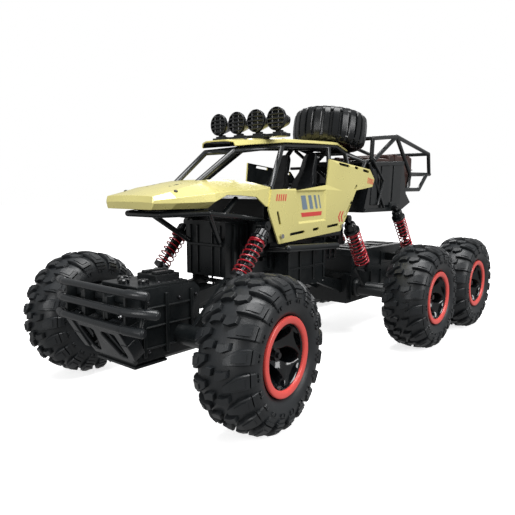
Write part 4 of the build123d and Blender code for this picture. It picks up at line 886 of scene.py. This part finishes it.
# ---------------------------------------------------------------- bogie
trim = Shape()
for side in (1, -1):
    for x in (-210, -186, -160, -136, -110, -86, -64):
        trim.box((x - 1.4, x + 1.4), sorted((side * 24.4, side * 26.8)), (42, 70))
    trim.box((-200, -72), sorted((side * 24.4, side * 26.0)), (74, 76.4))
    for x in (-190, -136, -84):
        trim.box((x - 1.4, x + 1.4), sorted((side * 24.4, side * 26.4)), (74, 92))
    for x in (MIDDLE_X, REAR_X):
        trim.turned([(8.2, side * 26), (10.4, side * 26), (10.4, side * 29), (8.8, side * 31),
                     (8.2, side * 31)], steps=32,
                    centre=(x, 0, AXLE_Z))
        trim.turned([(7.8, side * 74), (9.4, side * 74.6), (9.4, side * 79), (7.8, side * 79)], steps=32,
                    centre=(x, 0, AXLE_Z))
for x in (-180, -150, -120, -94):
    trim.box((x - 8, x + 8), (-16, 16), (97.4, 99.4))
piece("bogie_ribs", trim, "bogie", SATIN, bevel=0.8, sharp=38)

# ---------------------------------------------------------------- cockpit
tub = Shape()
tub.box((-6, 112), (-44, 44), (120.2, 122))
tub.slab([(112, 122), (112, 158), (96, 161), (86, 157), (85, 148), (99, 144), (99, 122)], -42, 84)
for y in (-17, 17):
    tub.box((26, 62), (y - 12, y + 12), (121, 139))
for side in (1, -1):
    tub.slab([(-4, 121), (112, 121), (109, 155), (78, 158), (30, 160), (-6, 150)], side * 46, side * 1.4)
piece("cockpit_tub", tub, "chassis", CLOTH, ["cockpit"], "frame_black", bevel=2.0, segments=3, sharp=38)
wheel = Shape()
column = (Vector((88, 16, 154)), Vector((76, 16, 161)))
aim = (column[1] - column[0]).normalized()
tilt = Vector((0, 0, 1)).rotation_difference(aim).to_matrix().to_4x4()
tilt.translation = column[1]
grip = Shape().turned([(9.9 + 1.1 * math.cos(t * math.pi / 5),
                        1.1 * math.sin(t * math.pi / 5)) for t in range(10)],
                      steps=40, axis="z")
grip.turned([(0.3, -1.2), (2.8, -1.0), (2.6, 0.8), (0.3, 1.2)], steps=20, axis="z")
for k in range(3):
    c, s = math.cos(math.pi / 2 + 2 * math.pi * k / 3), math.sin(math.pi / 2 + 2 * math.pi * k / 3)
    grip.tube([(2 * c, 2 * s, 0), (9.6 * c, 9.6 * s, 0)], 0.8, sides=8)
wheel.join(grip.moved(tilt)).tube(column, 1.4, sides=10)
piece("steering_wheel", wheel, "chassis", GLOSS, sharp=40)
seats = Shape()
for y in (-17, 17):
    rings = []
    for x, z, wide, thick in ((37, 134, 12.6, 6), (31, 147, 13.6, 6.5), (24, 161, 13.8, 6.5),
                              (18, 175, 12.6, 6),
                              (14, 184, 8.6, 5), (11.5, 189, 8.0, 6), (8, 199, 7.4, 5), (6.6, 203, 5.6, 3)):
        rings.append([(x + thick * dx, y + wide * dy, z - thick * dz) for dx, dy, dz in (
            (0.55, -1.0, 0), (-0.2, -0.6, 0), (-0.2, 0.6, 0), (0.55, 1.0, 0), (-0.4, 1.02, 0.2),
            (-1.0, 0.7, 0.4), (-1.0, -0.7, 0.4), (-0.4, -1.02, 0.2))])
    seats.loft(rings)
    seats.slab([(30, 138), (62, 136), (63, 141), (44, 143), (32, 146)], y - 11, 22)
    for edge in (y - 13, y + 10.6):
        seats.slab([(28, 138), (64, 136), (62, 143.5), (44, 146), (32, 156), (26, 164), (22, 160)], edge, 2.4)
piece("bucket_seats", seats, "chassis", CLOTH, bevel=0.9, segments=3, sharp=42)

braces = Shape()
for side in (1, -1):
    braces.tube([(-19, side * 22, 209), (-26, side * -33, 166)], 1.8, sides=10)
    braces.tube([(-26, side * 33, 168), (-12, side * 33, 124)], 1.8, sides=10)
    braces.tube([(8, side * 39, 174), (-44, side * 35, 170)], 1.6, sides=10)
braces.tube([(-24, -36, 172), (-24, 36, 172)], 1.8, sides=10)
braces.tube([(-22, -30, 190), (-22, 30, 190)], 1.6, sides=10)
piece("cabin_braces", braces, "chassis", CAGE)

# ---------------------------------------------------------------- cargo bed and load
trim = Shape()
for side in (1, -1):
    for x0, x1, z0, z1 in ((-88, -75, 150, 190), (-118, -96, 149, 194), (-148, -126, 149, 196)):
        trim.slab([(x1 + 2, z0), (x1 - 2, z1), (x0, z1 + 1), (x0 + 2, z0)], side * 41.4, side * 1.8)
    trim.slab([(-80, 193), (-80, 197.6), (-154, 201.6), (-154, 197)], side * 41.4, side * 2.2)
    trim.slab([(-60, 142.6), (-61.5, 146.4), (-150, 146.4), (-150, 142.4)], side * 41.4, side * 2.0)
    trim.slab([(-118, 142.6), (-130, 142.6), (-130, 153), (-118, 153)], side * 41, side * 3.4)
piece("cargo_bed_trim", trim, "chassis", SATIN, bevel=0.7, sharp=38)
struts = Shape()
for side in (1, -1):
    struts.tube([(-76, side * 42.6, 199), (-97, side * 45.4, 177), (-86, side * 44.2, 150)], 1.5, sides=10)
    struts.tube([(-70, side * 41.4, 196), (-101, side * 44.6, 147)], 1.5, sides=10)
piece("cargo_bed_struts", struts, "chassis", CAGE)
load = Shape()
load.box((-213.6, -146.4), (-26.6, 26.6), (170.5, 210.6))
load.box((-145.4, -90.4), (-29.6, 29.6), (145, 204.6))
piece("packed_cases", load, "chassis", BROWN, ["cargo_case"], "case_brown", bevel=3.6, segments=4, sharp=38)
straps = Shape()
for x in (-200, -164):
    straps.box((x - 3, x + 3), (-27.3, 27.3), (170.6, 211.3))
for y in (-14, 14):
    straps.box((-146, -89.8), (y - 2.4, y + 2.4), (150, 205.3))
straps.box((-214.2, -146), (-27.2, 27.2), (193.0, 194.2))
for x, z in ((-200, 211), (-164, 211)):
    straps.box((x - 4.4, x + 4.4), (-5, 5), (z - 1, z + 1.3))
piece("case_straps", straps, "chassis", BROWN, bevel=1.0, segments=3, sharp=38)

# ---------------------------------------------------------------- carried CAD nodes
def dress(mat, *names, bevel=0.0):
    """Gives carried CAD nodes their finish, with welded, eased edges."""
    for node in names:
        obj = nodes[node]
        obj.data.materials.clear()
        obj.data.materials.append(mat)
        obj.modifiers.new("weld", "WELD").merge_threshold = 0.00001
        if bevel:
            edge = obj.modifiers.new("bevel", "BEVEL")
            edge.width, edge.segments = bevel * MM, 2
            edge.limit_method, edge.angle_limit = "ANGLE", math.radians(40)


dress(DARK_STEEL, "stub_axle_left", "stub_axle_right", "middle_axle", "rear_axle", "front_drive_shaft")
dress(DARK_STEEL, "front_damper_rods", "middle_damper_rods", "rear_damper_rods")
dress(NYLON, "front_pinion", "middle_pinion", "rear_pinion")
dress(STEEL, "front_motor", "bogie_motors", "body_screws")
dress(CAGE, "roll_cage", "bed_rack")
dress(SATIN, "front_axle_housing", "bogie_housing", "front_links", "bogie_links", "knuckle_left",
      "knuckle_right",
      "tie_rod", "servo_horn", "steering_servo", "chassis_tub", "battery_cover", "power_switch", bevel=0.5)
dress(GLOSS, "cargo_bed", bevel=0.5)
dress(WRAP, "battery_pack")
dress(LEAD, "motor_lead")

# ---------------------------------------------------------------- studio and camera
CAMERA_AT = (0.45266, 0.32638, 0.16358)
YAW, PITCH, ROLL = math.radians(219.835), math.radians(-7.8635), math.radians(0.18)
camera = bpy.data.objects.new("camera", bpy.data.cameras.new("camera"))
scene.collection.objects.link(camera)
camera.data.sensor_width = 36.0
camera.data.lens = 36.52
camera.data.shift_x, camera.data.shift_y = -0.0116, 0.0139
camera.data.clip_start, camera.data.clip_end = 0.01, 20.0
look = Vector((math.cos(PITCH) * math.cos(YAW), math.cos(PITCH) * math.sin(YAW), math.sin(PITCH)))
camera.location = CAMERA_AT
camera.rotation_mode = "QUATERNION"
camera.rotation_quaternion = look.to_track_quat("-Z", "Y") @ Quaternion((0, 0, 1), ROLL)
scene.camera = camera
scene.view_settings.view_transform = "Standard"

floor_mesh = bpy.data.meshes.new("floor")
floor_mesh.from_pydata([(-6, -6, 0), (6, -6, 0), (6, 6, 0), (-6, 6, 0)], [], [(0, 1, 2, 3)])
floor = bpy.data.objects.new("floor", floor_mesh)
floor.location.z = -0.0002
scene.collection.objects.link(floor)
white = material("floor_white", (0.90, 0.90, 0.90), 0.75, spread=0.005, bump=0.0)
white.node_tree.nodes["Principled BSDF"].inputs["Emission Color"].default_value = (1.0, 1.0, 1.0, 1.0)
white.node_tree.nodes["Principled BSDF"].inputs["Emission Strength"].default_value = 0.75
floor_mesh.materials.append(white)
floor.visible_diffuse = floor.visible_glossy = False

# the room is seen white but lights the car more gently than it shows
world = bpy.data.worlds.new("studio")
world.use_nodes = True
tree = world.node_tree
seen, soft = tree.nodes["Background"], tree.nodes.new("ShaderNodeBackground")
seen.inputs["Color"].default_value = soft.inputs["Color"].default_value = (1.0, 1.0, 1.0, 1.0)
seen.inputs["Strength"].default_value, soft.inputs["Strength"].default_value = 1.0, 0.36
path, blend = tree.nodes.new("ShaderNodeLightPath"), tree.nodes.new("ShaderNodeMixShader")
tree.links.new(path.outputs["Is Camera Ray"], blend.inputs["Fac"])
tree.links.new(soft.outputs["Background"], blend.inputs[1])
tree.links.new(seen.outputs["Background"], blend.inputs[2])
tree.links.new(blend.outputs["Shader"], tree.nodes["World Output"].inputs["Surface"])
scene.world = world


def softbox(name, at, target, size, power):
    light = bpy.data.lights.new(name, "AREA")
    light.shape = "RECTANGLE"
    light.size, light.size_y = size
    light.energy = power
    lamp = bpy.data.objects.new(name, light)
    lamp.location = at
    lamp.rotation_mode = "QUATERNION"
    lamp.rotation_quaternion = (Vector(target) - Vector(at)).to_track_quat("-Z", "Y")
    scene.collection.objects.link(lamp)


softbox("overhead", (0.2, 0.3, 1.6), (0, 0, 0.1), (1.2, 1.0), 34.0)
softbox("left_side", (-0.2, 1.7, 0.8), (0, 0, 0.1), (0.9, 0.7), 14.0)
softbox("front", (1.8, 0.1, 0.5), (0, 0, 0.1), (0.5, 0.9), 8.0)
softbox("rear_edge", (-1.4, -0.9, 1.0), (0, 0, 0.1), (1.0, 0.8), 8.0)
